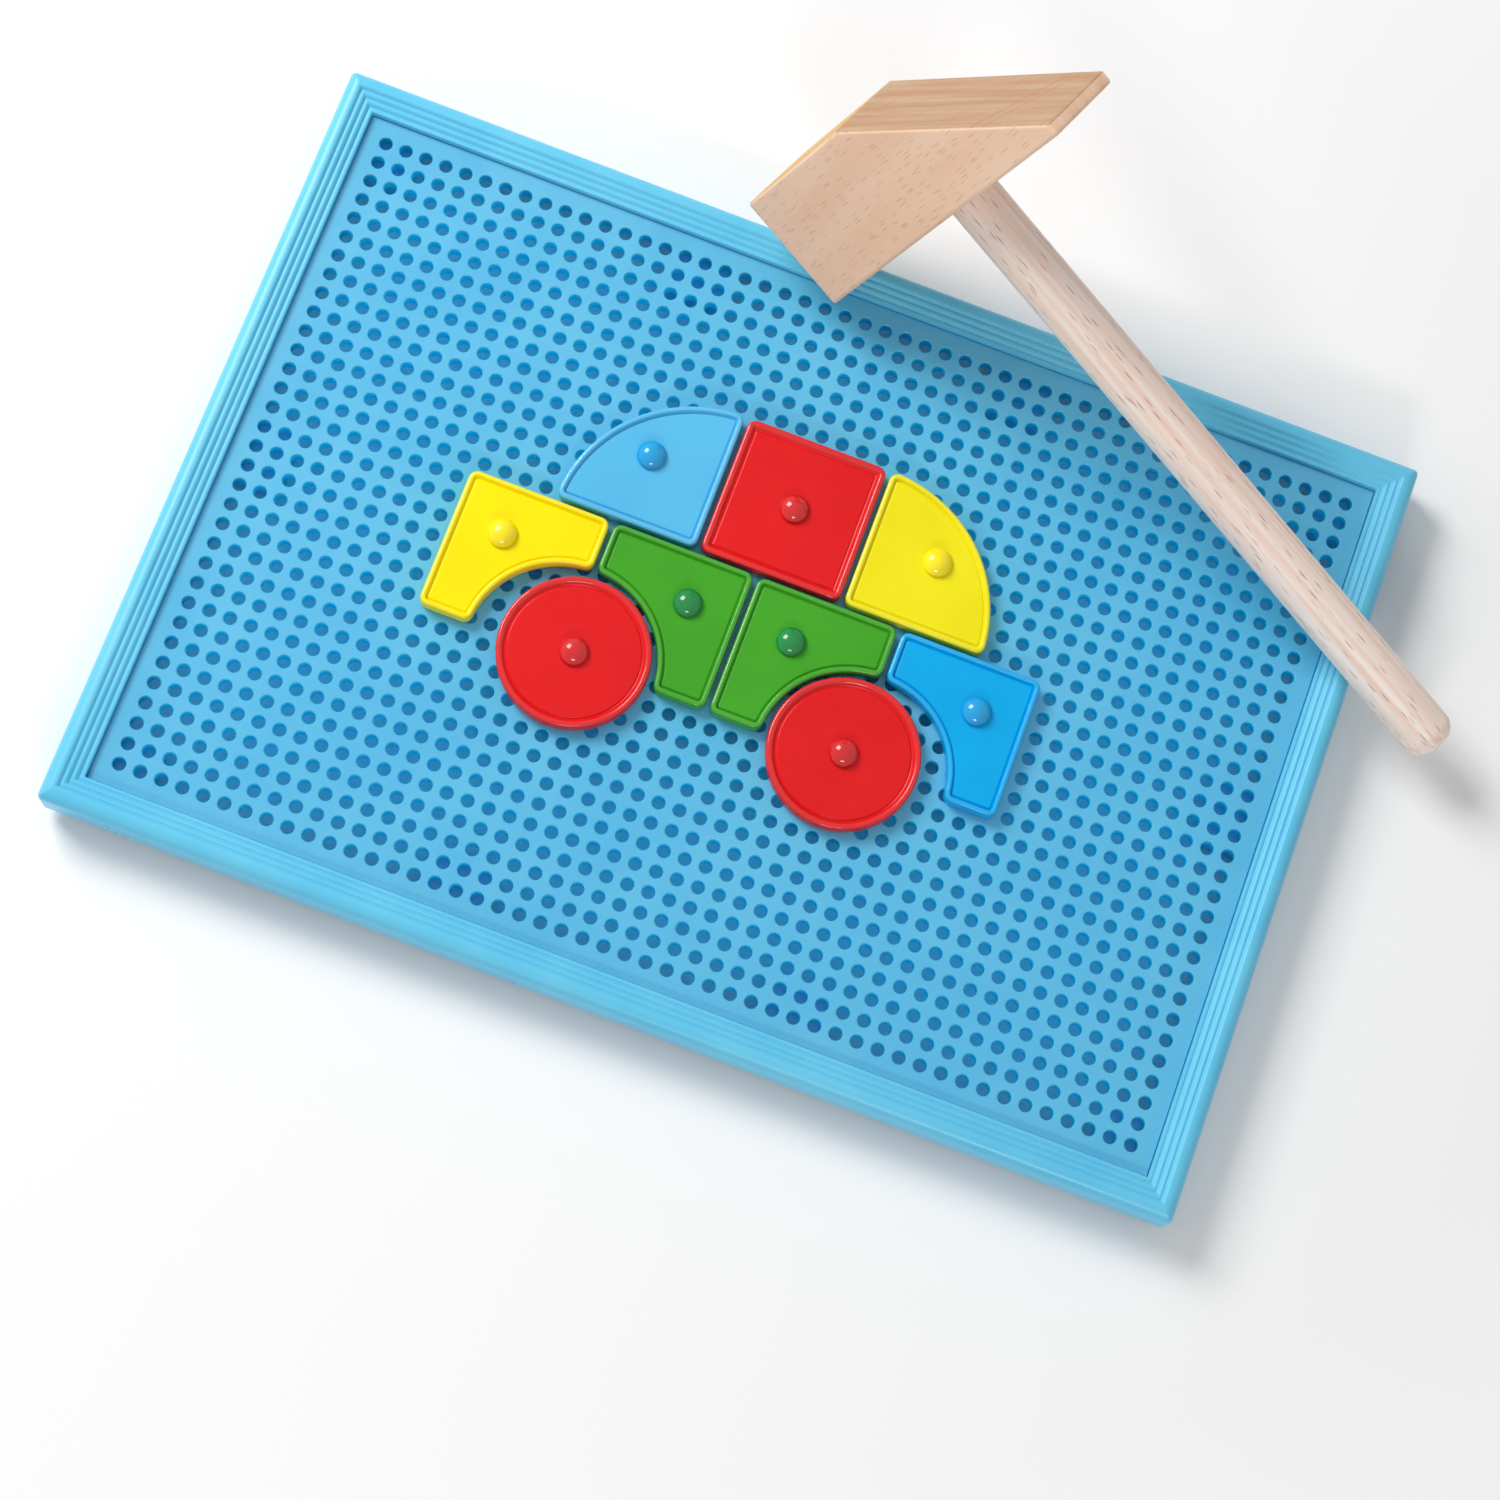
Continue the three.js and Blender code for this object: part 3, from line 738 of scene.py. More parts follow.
@dataclass
class Board:
    """The moulded frame with its feet, and the perforated plate in it.

    Attributes:
        pitch: Distance between holes.
        columns: Holes along the length.
        rows: Holes along the width.
        hole_d: Diameter of a hole.
        hole_sides: Points on a hole's edge.
        hole_edge: Size of its softened edge.
        plate_half: Half the plate's length and width.
        plate_low: Height of the plate's underside.
        plate_top: Height of its face.
        half: Half the frame's length and width.
        rim_top: Height of the outer band.
        rim_low: Height of the skirt's lower edge.
        edge_r: Radius of the band's outer edge.
        edge_points: Points on that edge's quarter round.
        corner_r: Radius of the frame's corners in plan.
        corner_least: Least radius of a corner farther in.
        band: Width of the outer band.
        steps: Number of steps down to the plate.
        step_run: Width of a step.
        step_drop: Height of a step.
        rim_width: Width of the whole rim.
        rim_wall: Thickness of its walls.
        ledge: Reach and thickness of the ledge under the plate.
        seat_gap: Play between a piece and its seat.
        foot_reach: How far a foot reaches in from the rim.
        foot_length: Length of a foot along its side.
        foot_third: Place of the feet on the long sides, from the middle.
        foot_r: Radius of a foot's corners.
        foot_steps: Straight pieces in such a corner.
    """

    pitch: float = 5.6
    columns: int = 49
    rows: int = 33
    hole_d: float = 3.5
    hole_sides: int = 12
    hole_edge: float = 0.22
    plate_half: tuple[float, float] = (140.4, 95.6)
    plate_low: float = 9.0
    plate_top: float = 12.5
    half: tuple[float, float] = (149.9, 105.1)
    rim_top: float = 16.0
    rim_low: float = 4.0
    edge_r: float = 3.4
    edge_points: int = 15
    corner_r: float = 1.5
    corner_least: float = 0.4
    band: float = 4.1
    steps: int = 3
    step_run: float = 1.7
    step_drop: float = 0.6
    rim_width: float = 9.2
    rim_wall: float = 2.4
    ledge: tuple[float, float] = (3.0, 2.5)
    seat_gap: float = 0.3
    foot_reach: float = 14.7
    foot_length: float = 16.8
    foot_third: float = 44.8
    foot_r: float = 2.0
    foot_steps: int = 4

    @property
    def centre(self) -> np.ndarray:
        """Middle of the board in plan, at table height."""
        low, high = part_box("board_frame")
        return np.array([(low.x + high.x) / 2, (low.y + high.y) / 2, 0.0]) / MM

    def rim_section(self) -> np.ndarray:
        """Section of the rim: up the outside, over a quarter round, down the steps and back below.

        Returns:
            Rows of inset and height.
        """
        angle = np.linspace(np.pi, QUARTER, self.edge_points)
        edge = self.edge_r + self.edge_r * np.stack([np.cos(angle), np.sin(angle) - 2], 1)
        edge[:, 1] += self.rim_top
        # Softened lower edge of the skirt.
        foot = [[0.4, 0.0], [0.12, 0.12], [0.0, 0.4], [0.0, 0.8]] + np.array([0.0, self.rim_low])
        # One step: a soft nosing, the drop and a groove at its foot. Heights are in drops.
        nosing = np.array(
            [
                [-0.6, 0.0],
                [-0.45, -0.02],
                [-0.2, -0.14],
                [0.1, -0.6],
                [0.3, -1.1],
                [0.45, -1.32],
                [0.6, -1.34],
                [0.75, -1.15],
                [0.9, -1.02],
                [1.0, -1.0],
            ]
        )
        nosing[:, 1] *= self.step_drop
        index = np.arange(self.steps)[:, None, None]
        step = np.array([self.step_run, -self.step_drop])
        stairs = (nosing + step * index + np.array([self.band, self.rim_top])).reshape(-1, 2)
        tread = self.rim_top - self.steps * self.step_drop
        deck = tread - self.rim_wall
        seat = self.plate_low - self.seat_gap
        reach, thick = self.ledge
        # Softened inner edge, the ledge, the hollow underside and the inside of the skirt.
        back = [
            [self.rim_width - 0.5, tread],
            [self.rim_width - 0.35, tread - 0.01],
            [self.rim_width - 0.1, tread - 0.1],
            [self.rim_width, tread - 0.35],
            [self.rim_width, seat],
            [self.rim_width + reach, seat],
            [self.rim_width + reach, seat - thick],
            [self.rim_width - self.rim_wall, seat - thick],
            [self.rim_width - self.rim_wall, deck],
            [self.rim_wall, deck],
            [self.rim_wall, self.rim_low],
        ]
        return np.concatenate([foot, edge, stairs, back])

    def rim(self) -> Skin:
        """The rim's section carried round a rectangle whose corners tighten inward.

        Returns:
            The closed surface.
        """
        rings = []
        for inset, height in self.rim_section():
            radius = max(self.corner_r - inset, self.corner_least)
            plan = rectangle_ring(*np.subtract(self.half, inset), radius, CORNER_STEPS)
            rings.append(at_height(plan, height))
        return loft(np.array(rings), closed=True)

    def feet(self) -> Skin:
        """Blocks under the plate's edge, each a rounded rectangle carried upward.

        Returns:
            Ten closed blocks: at the corners, along the long sides and amid the short ones.
        """
        back = self.rim_wall / 2
        deep = (self.foot_reach + back) / 2
        x, y = (side - self.rim_width + back - deep for side in self.half)
        wide = self.foot_length / 2
        top = self.plate_low - self.seat_gap
        spots = [(sx * x, sy * y, deep, deep) for sx in (-1, 1) for sy in (-1, 1)]
        spots += [(sx * self.foot_third, sy * y, wide, deep) for sx in (-1, 1) for sy in (-1, 1)]
        spots += [(sx * x, 0.0, deep, wide) for sx in (-1, 1)]
        profile = ((0.5, 0.0), (0.15, 0.15), (0.0, 0.5), (0.0, top))
        blocks = []
        for *middle, half_x, half_y in spots:
            rings = []
            for inset, height in profile:
                sizes = (size - inset for size in (half_x, half_y, self.foot_r))
                plan = rectangle_ring(*sizes, self.foot_steps) + np.array(middle)
                rings.append(at_height(plan, height))
            blocks.append(loft(np.array(rings), closed=False))
        return joined(blocks)

    def plate(self) -> Skin:
        """Square cells with a round hole each, the outermost drawn out to the plate's edge.

        A cell is five rings of twelve points: its square, the hole's softened edge, the hole's
        wall and the square again underneath. Points shared by neighbours are merged.

        Returns:
            The closed surface.
        """
        angle = (np.arange(self.hole_sides) + 0.5) * 2 * np.pi / self.hole_sides
        ray = np.stack([np.cos(angle), np.sin(angle)], 1)
        square = ray / np.abs(ray).max(1, keepdims=True)
        column = (np.arange(self.columns) - (self.columns - 1) / 2) * self.pitch
        row = (np.arange(self.rows) - (self.rows - 1) / 2) * self.pitch
        centre = np.stack(np.meshgrid(column, row, indexing="ij"), -1).reshape(-1, 1, 2)
        cell = centre + square * self.pitch / 2
        field_half = np.array([column[-1], row[-1]]) + self.pitch / 2
        at_edge = np.isclose(np.abs(cell), field_half)
        cell = np.where(at_edge, np.sign(cell) * np.array(self.plate_half), cell)
        radius = self.hole_d / 2
        rings = (
            (cell, self.plate_top),
            (centre + (radius + self.hole_edge) * ray, self.plate_top),
            (centre + radius * ray, self.plate_top - self.hole_edge),
            (centre + radius * ray, self.plate_low),
            (cell, self.plate_low),
        )
        points = np.stack(
            [np.concatenate([plan, np.full(plan.shape[:2] + (1,), z)], -1) for plan, z in rings], 1
        )
        number = np.arange(points.size // 3).reshape(points.shape[:3])
        ahead = np.roll(number, -1, 2)
        bands = np.stack([number[:, :-1], ahead[:, :-1], ahead[:, 1:], number[:, 1:]], -1)
        same_side = (at_edge & np.roll(at_edge, -1, 1)).any(-1)
        wall = np.stack([number[:, -1], ahead[:, -1], ahead[:, 0], number[:, 0]], -1)[same_side]
        merged, index = np.unique(np.round(points.reshape(-1, 3), 4), axis=0, return_inverse=True)
        return Skin(merged, index.reshape(-1)[np.concatenate([bands.reshape(-1, 4), wall])])

    def build(self) -> list[bpy.types.Object]:
        """Makes the rim, the feet and the plate.

        Returns:
            The three pieces.
        """
        shapes = (
            ("frame_rim", self.rim(), "board_frame", Plastic.BOARD),
            ("frame_feet", self.feet(), "board_frame", Plastic.BOARD),
            ("perforated_plate", self.plate(), "peg_plate", Plastic.PLATE),
        )
        return [
            make_piece(name, skin.placed(UNTURNED, self.centre), node, plastic.value, sharp=40.0)
            for name, skin, node, plastic in shapes
        ]


class TileShape(Enum):
    """The four tile moulds."""

    SQUARE = "square"
    QUARTER = "quarter disc"
    FENDER = "square with a wheel arch"
    WHEEL = "disc"


@dataclass(frozen=True)
class TileMould:
    """Sizes that all tiles share, and the outlines of the four shapes about their nail holes.

    Attributes:
        side: Side of the square that a tile is cut from.
        thick: Thickness at the bead.
        corner_r: Radius of the corners.
        arch_r: Radius of the wheel arch.
        wheel_d: Diameter of a wheel.
        nail_inset: Distance of a fender's nail from its two full sides.
        hole_d: Diameter of the nail hole.
        bead_round: Radius of the bead's outer edge.
        bead_flat: How far in the bead's top reaches.
        bead_points: Points up the bead's outer edge, and down its inner side.
        face_drop: How far the face lies below the bead.
        groove: Depth of the groove between them.
        groove_inset: How far the groove's lowest line lies within the bead's width.
        spacing: Greatest distance between points of an outline.
    """

    side: float = 38.0
    thick: float = 4.0
    corner_r: float = 2.4
    arch_r: float = 24.0
    wheel_d: float = 39.6
    nail_inset: float = 13.4
    hole_d: float = 3.5
    bead_round: float = 0.75
    bead_flat: float = 1.1
    bead_points: int = 7
    face_drop: float = 0.7
    groove: float = 0.35
    groove_inset: float = 0.15
    spacing: float = 1.6

    def arcs(self, shape: TileShape) -> list[Arc]:
        """Arcs of a shape's outline about the nail; lines that touch two arcs join them.

        Args:
            shape: Which tile.

        Returns:
            The arcs, anticlockwise.
        """
        r = self.corner_r
        if shape is TileShape.WHEEL:
            starts = QUARTER * np.arange(4)
            return [Arc(0.0, 0.0, self.wheel_d / 2, start, start + QUARTER) for start in starts]
        if shape is TileShape.SQUARE:
            c = self.side / 2 - r
            corners = ((c, -c), (c, c), (-c, c), (-c, -c))
            ends = QUARTER * np.arange(4)
            return [Arc(x, y, r, end - QUARTER, end) for (x, y), end in zip(corners, ends)]
        if shape is TileShape.QUARTER:
            low = -self.side / 2
            along = math.sqrt((self.side - r) ** 2 - r**2)
            tip = math.asin(r / (self.side - r))
            return [
                Arc(low + r, low + r, r, np.pi, 3 * QUARTER),
                Arc(low + along, low + r, r, -QUARTER, tip),
                Arc(low, low, self.side, tip, QUARTER - tip),
                Arc(low + r, low + along, r, QUARTER - tip, np.pi),
            ]
        high = self.nail_inset
        low = high - self.side
        along = math.sqrt((self.arch_r + r) ** 2 - r**2)
        tip = math.asin(r / (self.arch_r + r))
        return [
            Arc(high - r, low + r, r, -QUARTER, 0.0),
            Arc(high - r, high - r, r, 0.0, QUARTER),
            Arc(low + r, high - r, r, QUARTER, np.pi),
            Arc(low + r, low + along, r, np.pi, 3 * QUARTER - tip),
            Arc(low, low, self.arch_r, QUARTER - tip, tip, hollow=True),
            Arc(low + along, low + r, r, np.pi + tip, 3 * QUARTER),
        ]

    def section(self, bead: float) -> np.ndarray:
        """Section of a tile: up the edge, over the bead, down a half cosine and up to the face.

        Args:
            bead: Width of the bead.

        Returns:
            Rows of inset and height.
        """
        rise = np.linspace(0, QUARTER, self.bead_points)
        r = self.bead_round
        outer = np.stack([r - r * np.cos(rise), self.thick - r + r * np.sin(rise)], 1)
        fall = np.linspace(0, 1, self.bead_points)[1:]
        top, low = self.bead_flat, bead - self.groove_inset
        drop = (self.face_drop + self.groove) * (1 - np.cos(np.pi * fall)) / 2
        inner = np.stack([top + (low - top) * fall, self.thick - drop], 1)
        # From the groove's lowest line up to the face.
        bank = np.array([[0.18, -0.35 * self.groove], [0.34, -0.03], [0.45, 0.0], [0.6, 0.0]])
        bank += np.array([low, self.thick - self.face_drop])
        # Softened lower edge.
        foot = [[0.25, 0.0], [0.07, 0.07], [0.0, 0.25], [0.0, 0.5]]
        return np.concatenate([foot, outer, [[top, self.thick]], inner, bank])

    def skin(self, shape: TileShape, quarters: int, bead: float) -> Skin:
        """Rings of the outline at the section's insets, then down the nail hole and back below.

        Args:
            shape: Which tile.
            quarters: Quarter turns of the tile about its nail.
            bead: Width of its bead.

        Returns:
            The closed surface.
        """
        outline = Outline.through(self.arcs(shape), self.spacing).turned(quarters)
        rings = [outline.inset(d, z) for d, z in self.section(bead)]
        ray = rings[-1][:, :2] / np.linalg.norm(rings[-1][:, :2], axis=1, keepdims=True)
        mouth = ray * self.hole_d / 2
        rings += [at_height(mouth, self.thick - self.face_drop), at_height(mouth, 0.0)]
        return loft(np.array(rings), closed=True)


@dataclass(frozen=True)
class NailMould:
    """A push-in nail with a domed head, about its own axis.

    Attributes:
        shank_d: Diameter of the shank.
        head_d: Diameter of the head.
        head_low: Height of the head's underside.
        top: Height of the dome's top.
        edge: Height of the head's straight edge.
        soft: Size of its softened edges.
        tip: Height of the nail's lower end.
        tip_d: Diameter there.
        tip_soft: Height of the softened edge there.
        point: Length of the point.
        crown: Radius of the flat that closes the dome.
        dome_rings: Rings of points on the dome.
        around: Points on a ring.
    """

    shank_d: float = 3.1
    head_d: float = 7.6
    head_low: float = 16.4
    top: float = 19.0
    edge: float = 0.5
    soft: float = 0.15
    tip: float = 1.2
    tip_d: float = 1.2
    tip_soft: float = 0.2
    point: float = 3.0
    crown: float = 0.12
    dome_rings: int = 14
    around: int = 48

    def skin(self) -> Skin:
        """The point, the shank and a dome that is part of a ball, turned about the nail's axis.

        Returns:
            The closed surface.
        """
        r = self.head_d / 2
        rise = self.top - self.head_low - self.edge
        ball = (r**2 + rise**2) / (2 * rise)
        angle = np.linspace(math.asin(r / ball), math.asin(self.crown / ball), self.dome_rings)
        dome = np.stack([ball * np.sin(angle), self.top - ball + ball * np.cos(angle)], 1)
        shank = self.shank_d / 2
        stem = [
            [self.tip_d / 2 - self.soft, self.tip],
            [self.tip_d / 2, self.tip + self.tip_soft],
            [shank, self.tip + self.point],
            [shank, self.head_low],
            [r - self.soft, self.head_low],
            [r, self.head_low + self.soft],
        ]
        return turned(np.concatenate([stem, dome]), self.around)


def turned(profile: np.ndarray, around: int) -> Skin:
    """A profile turned about +Z: the circle scaled by each radius and lifted to its height.

    Args:
        profile: Rows of radius and height, upward.
        around: Points on the circle.

    Returns:
        The surface, closed by flat ends.
    """
    angle = np.linspace(0, 2 * np.pi, around, endpoint=False)
    ring = np.stack([np.cos(angle), np.sin(angle), np.zeros(around)], 1)
    lift = profile[:, None, 1:] * np.array([0.0, 0.0, 1.0])
    return loft(profile[:, None, :1] * ring + lift, closed=False)


@dataclass(frozen=True)
class Tile:
    """One colour tile with its nail.

    Attributes:
        name: Its CAD node.
        shape: Its mould.
        column: Place of its nail in holes from the middle, along the length.
        row: The same along the width.
        quarters: Quarter turns about the nail.
        plastic: Plastic of the tile.
        nail: Plastic of the nail.
        bead: Width of the bead.
    """

    name: str
    shape: TileShape
    column: int
    row: int
    quarters: int
    plastic: Plastic
    nail: Plastic
    bead: float = 1.9

    def build(self, board: Board, mould: TileMould, nail: NailMould) -> list[bpy.types.Object]:
        """Makes the tile and its nail.

        Args:
            board: Board that gives the place of the hole.
            mould: The tiles' shared sizes.
            nail: The nails' shared sizes.

        Returns:
            The two pieces.
        """
        spot = board.centre + board.pitch * np.array([self.column, self.row, 0.0])
        seat = np.array([0.0, 0.0, board.plate_top + board.seat_gap])
        tile = mould.skin(self.shape, self.quarters, self.bead).placed(UNTURNED, spot + seat)
        dome = nail.skin().placed(UNTURNED, spot)
        return [
            make_piece(f"{self.name}_tile", tile, self.name, self.plastic.value),
            make_piece(f"{self.name}_dome", dome, f"{self.name}_nail", self.nail.value.as_nail()),
        ]


TILES = (
    Tile("yellow_fender", TileShape.FENDER, -12, 0, 1, Plastic.YELLOW, Plastic.YELLOW),
    Tile("green_fender_left", TileShape.FENDER, -3, 0, 0, Plastic.GREEN, Plastic.NAIL_GREEN),
    Tile("green_fender_right", TileShape.FENDER, 2, 0, 1, Plastic.GREEN, Plastic.NAIL_GREEN),
    Tile("blue_fender", TileShape.FENDER, 11, 0, 0, Plastic.SKY, Plastic.SKY),
    Tile("pale_blue_quarter", TileShape.QUARTER, -7, 6, 1, Plastic.PALE_SKY, Plastic.SKY),
    Tile("red_square", TileShape.SQUARE, 0, 6, 0, Plastic.RED, Plastic.RED, bead=2.6),
    Tile("yellow_quarter", TileShape.QUARTER, 7, 6, 0, Plastic.LEMON, Plastic.YELLOW),
    Tile("red_wheel_left", TileShape.WHEEL, -7, -4, 0, Plastic.RED, Plastic.RED, bead=2.6),
    Tile("red_wheel_right", TileShape.WHEEL, 6, -4, 0, Plastic.RED, Plastic.RED, bead=2.6),
)


@dataclass
class Hammer:
    """The beech hammer, in its own axes: along the head, along the handle and across.

    Attributes:
        length: Length of the head's foot.
        top_length: Length of its top face.
        height: Height of the head.
        width: Width of the head.
        nose: Height of the flat at the wedge's end.
        edge_r: Radius of the head's edges.
        edge_points: Points on an edge's quarter round.
        cap_inset: How far inside those edges a flat side begins as one face.
        strike: Place of the striking face along the head, from the handle's axis.
        handle_d: Diameter of the handle.
        handle_length: Length of the handle below the head.
        handle_in: How far it is drawn into the head.
        end_r: Radius of its free end's edge.
        end_points: Points on that edge's quarter round.
        around: Points round the handle.
        roll: Turn of the head about the handle in degrees.
        spacing: Greatest distance between points of the side view.
    """

    length: float = 98.0
    top_length: float = 42.0
    height: float = 34.0
    width: float = 26.5
    nose: float = 3.5
    edge_r: float = 0.9
    edge_points: int = 6
    cap_inset: float = 0.5
    strike: float = -51.0
    handle_d: float = 13.8
    handle_length: float = 185.0
    handle_in: float = 0.4
    end_r: float = 5.0
    end_points: int = 9
    around: int = 64
    roll: float = 67.4
    spacing: float = 4.0

    def pose(self) -> tuple[np.ndarray, np.ndarray]:
        """Reads from the CAD handle how the hammer lies.

        Returns:
            The hammer's three axes as columns, and the place where the handle meets the head.
        """
        data = frame["nodes"]["hammer_handle"].data
        places = np.empty(len(data.vertices) * 3, np.float32)
        data.vertices.foreach_get("co", places)
        places = np.unique(np.round(places.reshape(-1, 3) / MM, 3), axis=0)
        middle = places.mean(0)
        up = np.linalg.svd(places - middle)[2][0]
        up *= np.sign(up[2])
        level = np.cross(up, [0.0, 0.0, 1.0])
        level /= np.linalg.norm(level)
        roll = math.radians(self.roll)
        along = math.cos(roll) * level + math.sin(roll) * np.cross(level, up)
        heights = (places - middle) @ up
        place = middle + (heights.min() + self.handle_length) * up
        return np.column_stack([along, up, np.cross(along, up)]), place

    def corners(self) -> np.ndarray:
        """Side view of the head.

        Returns:
            Its corners, anticlockwise from the foot of the striking face.
        """
        nose = self.strike + self.length
        return np.array(
            [
                [self.strike, 0.0],
                [nose, 0.0],
                [nose, self.nose],
                [self.strike + self.top_length, self.height],
                [self.strike, self.height],
            ]
        )

    def bevel_plane(self) -> tuple[float, float, float]:
        """The plane of the sawn bevel.

        Returns:
            Its normal in the side view and its distance from the origin.
        """
        low, high = self.corners()[2:4]
        run = (high - low) / np.linalg.norm(high - low)
        normal = np.array([run[1], -run[0]])
        return (*normal, float(normal @ low))

    def head(self) -> Skin:
        """Side view carried across the width, inset at both ends by a quarter round.

        Returns:
            The closed surface in the hammer's own axes.
        """
        r = self.edge_r
        outline = Outline.through(rounded_polygon(self.corners(), r), self.spacing)
        turn = np.linspace(0, QUARTER, self.edge_points)
        inset = np.append(r + self.cap_inset, r - r * np.sin(turn))
        side = self.width / 2 - r + r * np.append(1.0, np.cos(turn))
        levels = list(zip(inset, -side)) + list(zip(inset, side))[::-1]
        return loft(np.array([outline.inset(d, z) for d, z in levels]), closed=False)

    def handle(self) -> Skin:
        """Round bar along the second axis: a profile with a rounded free end, turned.

        Returns:
            The closed surface in the hammer's own axes.
        """
        r = self.handle_d / 2
        angle = np.linspace(-QUARTER, 0, self.end_points)
        end = self.end_r * np.stack([np.cos(angle), np.sin(angle)], 1)
        end += np.array([r - self.end_r, self.end_r - self.handle_length])
        bar = turned(np.concatenate([end, [[r, self.handle_in]]]), self.around)
        return Skin(bar.points[:, [1, 2, 0]], bar.quads, bar.caps)

    def build(self) -> list[bpy.types.Object]:
        """Makes the head and the handle with their wood.

        Returns:
            The two pieces.
        """
        head_wood = WoodFinish(
            "head_wood",
            "fcd8bb",
            "f1c1a0",
            "a9744c",
            band=(83.0, 20.0, 2.0),
            ray=(5.5, 0.55, 0.55),
            fleck_share=0.3,
            fleck_depth=0.38,
            top=("c4984f", self.height),
            bevel="b89b7c",
            bevel_plane=self.bevel_plane(),
        )
        handle_wood = WoodFinish(
            "handle_wood",
            "fff2ea",
            "f6d6c3",
            "9c7060",
            band=(1.4, 62.0, 1.4),
            ray=(0.67, 6.7, 0.67),
            fleck_share=0.35,
        )
        shapes = (
            ("hammer_block", self.head(), "hammer_head", head_wood),
            ("hammer_bar", self.handle(), "hammer_handle", handle_wood),
        )
        axes, place = self.pose()
        return [
            make_piece(name, skin.placed(axes, place), node, wood, grain=skin.points)
            for name, skin, node, wood in shapes
        ]


@dataclass(frozen=True)
class Softbox:
    """One rectangular area lamp.

    Attributes:
        name: Its name.
        place: Where it stands, in metres.
        aim: The point that it faces.
        size: Its width and height in metres.
        power: Its power in watts.
    """

    name: str
    place: tuple[float, float, float]
    aim: tuple[float, float, float]
    size: tuple[float, float]
    power: float

    def build(self) -> None:
        """Adds the lamp to the scene."""
        data = bpy.data.lights.new(self.name, "AREA")
        data.shape = "RECTANGLE"
        data.size, data.size_y = self.size
        data.energy = self.power
        lamp = bpy.data.objects.new(self.name, data)
        lamp.location = self.place
        ray = Vector(self.aim) - Vector(self.place)
        lamp.rotation_euler = ray.to_track_quat("-Z", "Y").to_euler()
        bpy.context.scene.collection.objects.link(lamp)


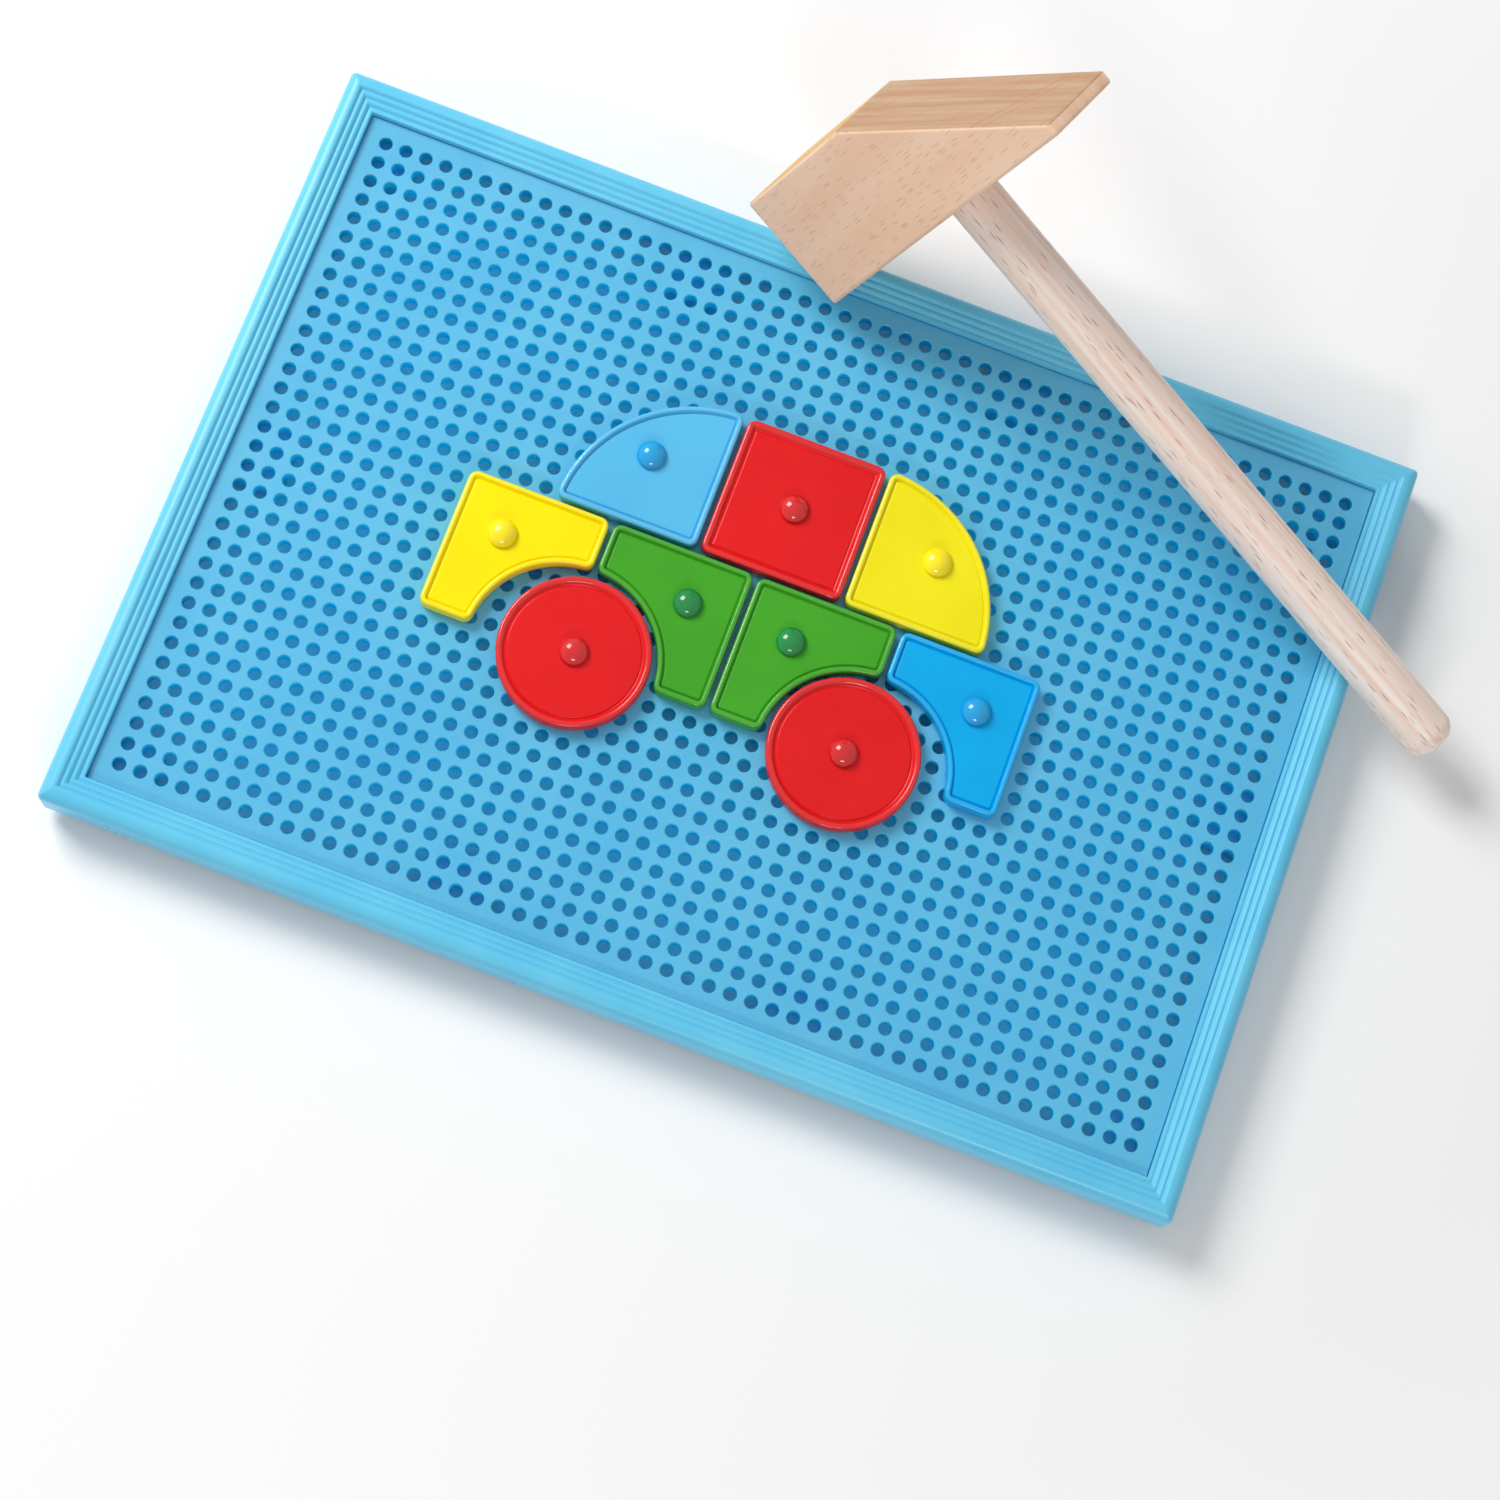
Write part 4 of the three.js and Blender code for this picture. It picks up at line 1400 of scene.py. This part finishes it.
@dataclass
class Studio:
    """Floor, world, lamps and camera.

    Attributes:
        floor_side: Side of the floor in metres.
        floor_fade: Distances in metres at which the floor starts to turn white, and is white.
        paper_patch: Width of the paper's uneven patches in millimetres.
        ambient: Strength of the world's light.
        lens: Focal length in millimetres.
        sensor: Width of the camera's sensor in millimetres.
        camera_place: Place of the camera in millimetres.
        camera_turn: Its turns about the three axes in degrees.
        lamps: The lamps.
    """

    floor_side: float = 6.0
    floor_fade: tuple[float, float] = (0.22, 0.5)
    paper_patch: float = 330.0
    ambient: float = 0.4
    lens: float = 76.93
    sensor: float = 36.0
    camera_place: tuple[float, float, float] = (1.896, -243.466, 799.009)
    camera_turn: tuple[float, float, float] = (13.428, -4.667, 20.110)
    lamps: tuple[Softbox, ...] = (
        Softbox("key_softbox", (-0.85, 0.42, 0.85), (0.0, 0.0, 0.0), (0.55, 0.55), 13.0),
        Softbox("front_softbox", (0.22, -0.96, 0.6), (0.0, 0.0, 0.0), (0.4, 0.14), 2.8),
    )

    def background_rays(self, tree: bpy.types.NodeTree) -> bpy.types.NodeSocket:
        """Tells the rays that show the background, straight, in gloss or through a clear piece.

        Args:
            tree: Node tree of the floor or the world.

        Returns:
            A socket that is 1 for such rays.
        """
        path = add_node(tree, "ShaderNodeLightPath")
        seen = path.outputs["Is Camera Ray"]
        for kind in ("Is Glossy Ray", "Is Transmission Ray"):
            pair = {0: seen, 1: path.outputs[kind]}
            seen = add_node(tree, "ShaderNodeMath", pair, operation="MAXIMUM").outputs[0]
        return seen

    def floor(self) -> bpy.types.Object:
        """A pale plane that keeps the board's shadow and turns to plain white farther off.

        Returns:
            The plane.
        """
        half = self.floor_side / 2
        mesh = bpy.data.meshes.new("floor")
        corners = [(-half, -half, 0), (half, -half, 0), (half, half, 0), (-half, half, 0)]
        mesh.from_pydata(corners, [], [(0, 1, 2, 3)])
        # Pressed backdrop paper: matt and almost white, a little uneven over a hand's width or two.
        material, tree = new_material("pressed_paper_floor")
        place = add_node(tree, "ShaderNodeTexCoord").outputs["Object"]
        size = {"Vector": place, "Scale": 1 / (self.paper_patch * MM)}
        patches = add_node(tree, "ShaderNodeTexNoise", size).outputs["Fac"]
        pair = {FACTOR: patches, FIRST: srgb("fbfbfb"), SECOND: srgb("f8f8f8")}
        colour = add_node(tree, "ShaderNodeMix", pair, data_type="RGBA").outputs[BLEND]
        near = add_node(tree, "ShaderNodeBsdfDiffuse", {"Color": colour})
        away = add_node(tree, "ShaderNodeVectorMath", {0: place}, operation="LENGTH")
        start, full = self.floor_fade
        ends = {"Value": away.outputs["Value"], "From Min": start, "From Max": full}
        faded = add_node(tree, "ShaderNodeMapRange", ends).outputs["Result"]
        pair = {0: faded, 1: self.background_rays(tree)}
        share = add_node(tree, "ShaderNodeMath", pair, operation="MULTIPLY").outputs[0]
        far = add_node(tree, "ShaderNodeEmission", {"Color": srgb("ffffff"), "Strength": 1.0})
        pair = {0: share, 1: near.outputs[0], 2: far.outputs[0]}
        both = add_node(tree, "ShaderNodeMixShader", pair)
        add_node(tree, "ShaderNodeOutputMaterial", {"Surface": both.outputs[0]})
        mesh.materials.append(material)
        floor = bpy.data.objects.new("floor", mesh)
        bpy.context.scene.collection.objects.link(floor)
        return floor

    def world(self) -> None:
        """White to the camera and in reflections, and a plain soft light on everything else."""
        world = bpy.data.worlds.new("studio")
        world.use_nodes = True
        tree = world.node_tree
        tree.nodes.clear()
        seen = self.background_rays(tree)
        white = srgb("ffffff")
        soft = add_node(tree, "ShaderNodeBackground", {"Color": white, "Strength": self.ambient})
        plain = add_node(tree, "ShaderNodeBackground", {"Color": white, "Strength": 1.0})
        pair = {0: seen, 1: soft.outputs[0], 2: plain.outputs[0]}
        both = add_node(tree, "ShaderNodeMixShader", pair)
        add_node(tree, "ShaderNodeOutputWorld", {"Surface": both.outputs[0]})
        bpy.context.scene.world = world

    def camera(self) -> None:
        """The photograph's view, without shift or blur."""
        data = bpy.data.cameras.new("camera")
        data.lens = self.lens
        data.sensor_width = self.sensor
        camera = bpy.data.objects.new("camera", data)
        camera.location = Vector(self.camera_place) * MM
        camera.rotation_euler = [math.radians(a) for a in self.camera_turn]
        bpy.context.scene.collection.objects.link(camera)
        bpy.context.scene.camera = camera

    def build(self) -> None:
        """Sets up everything round the object."""
        bpy.context.scene.view_settings.view_transform = "Standard"
        self.floor()
        self.world()
        for lamp in self.lamps:
            lamp.build()
        self.camera()


def main() -> None:
    """Builds the board, the tiles, the hammer and the studio."""
    logging.basicConfig(level=logging.INFO, format="%(name)s: %(message)s")
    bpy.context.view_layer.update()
    board = Board()
    pieces = board.build()
    mould, nail = TileMould(), NailMould()
    for tile in TILES:
        pieces += tile.build(board, mould, nail)
    pieces += Hammer().build()
    for piece in pieces:
        LOG.info("%s: %d faces", piece.name, len(piece.data.polygons))
    Studio().build()
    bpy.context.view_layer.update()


if __name__ == "__main__":
    main()
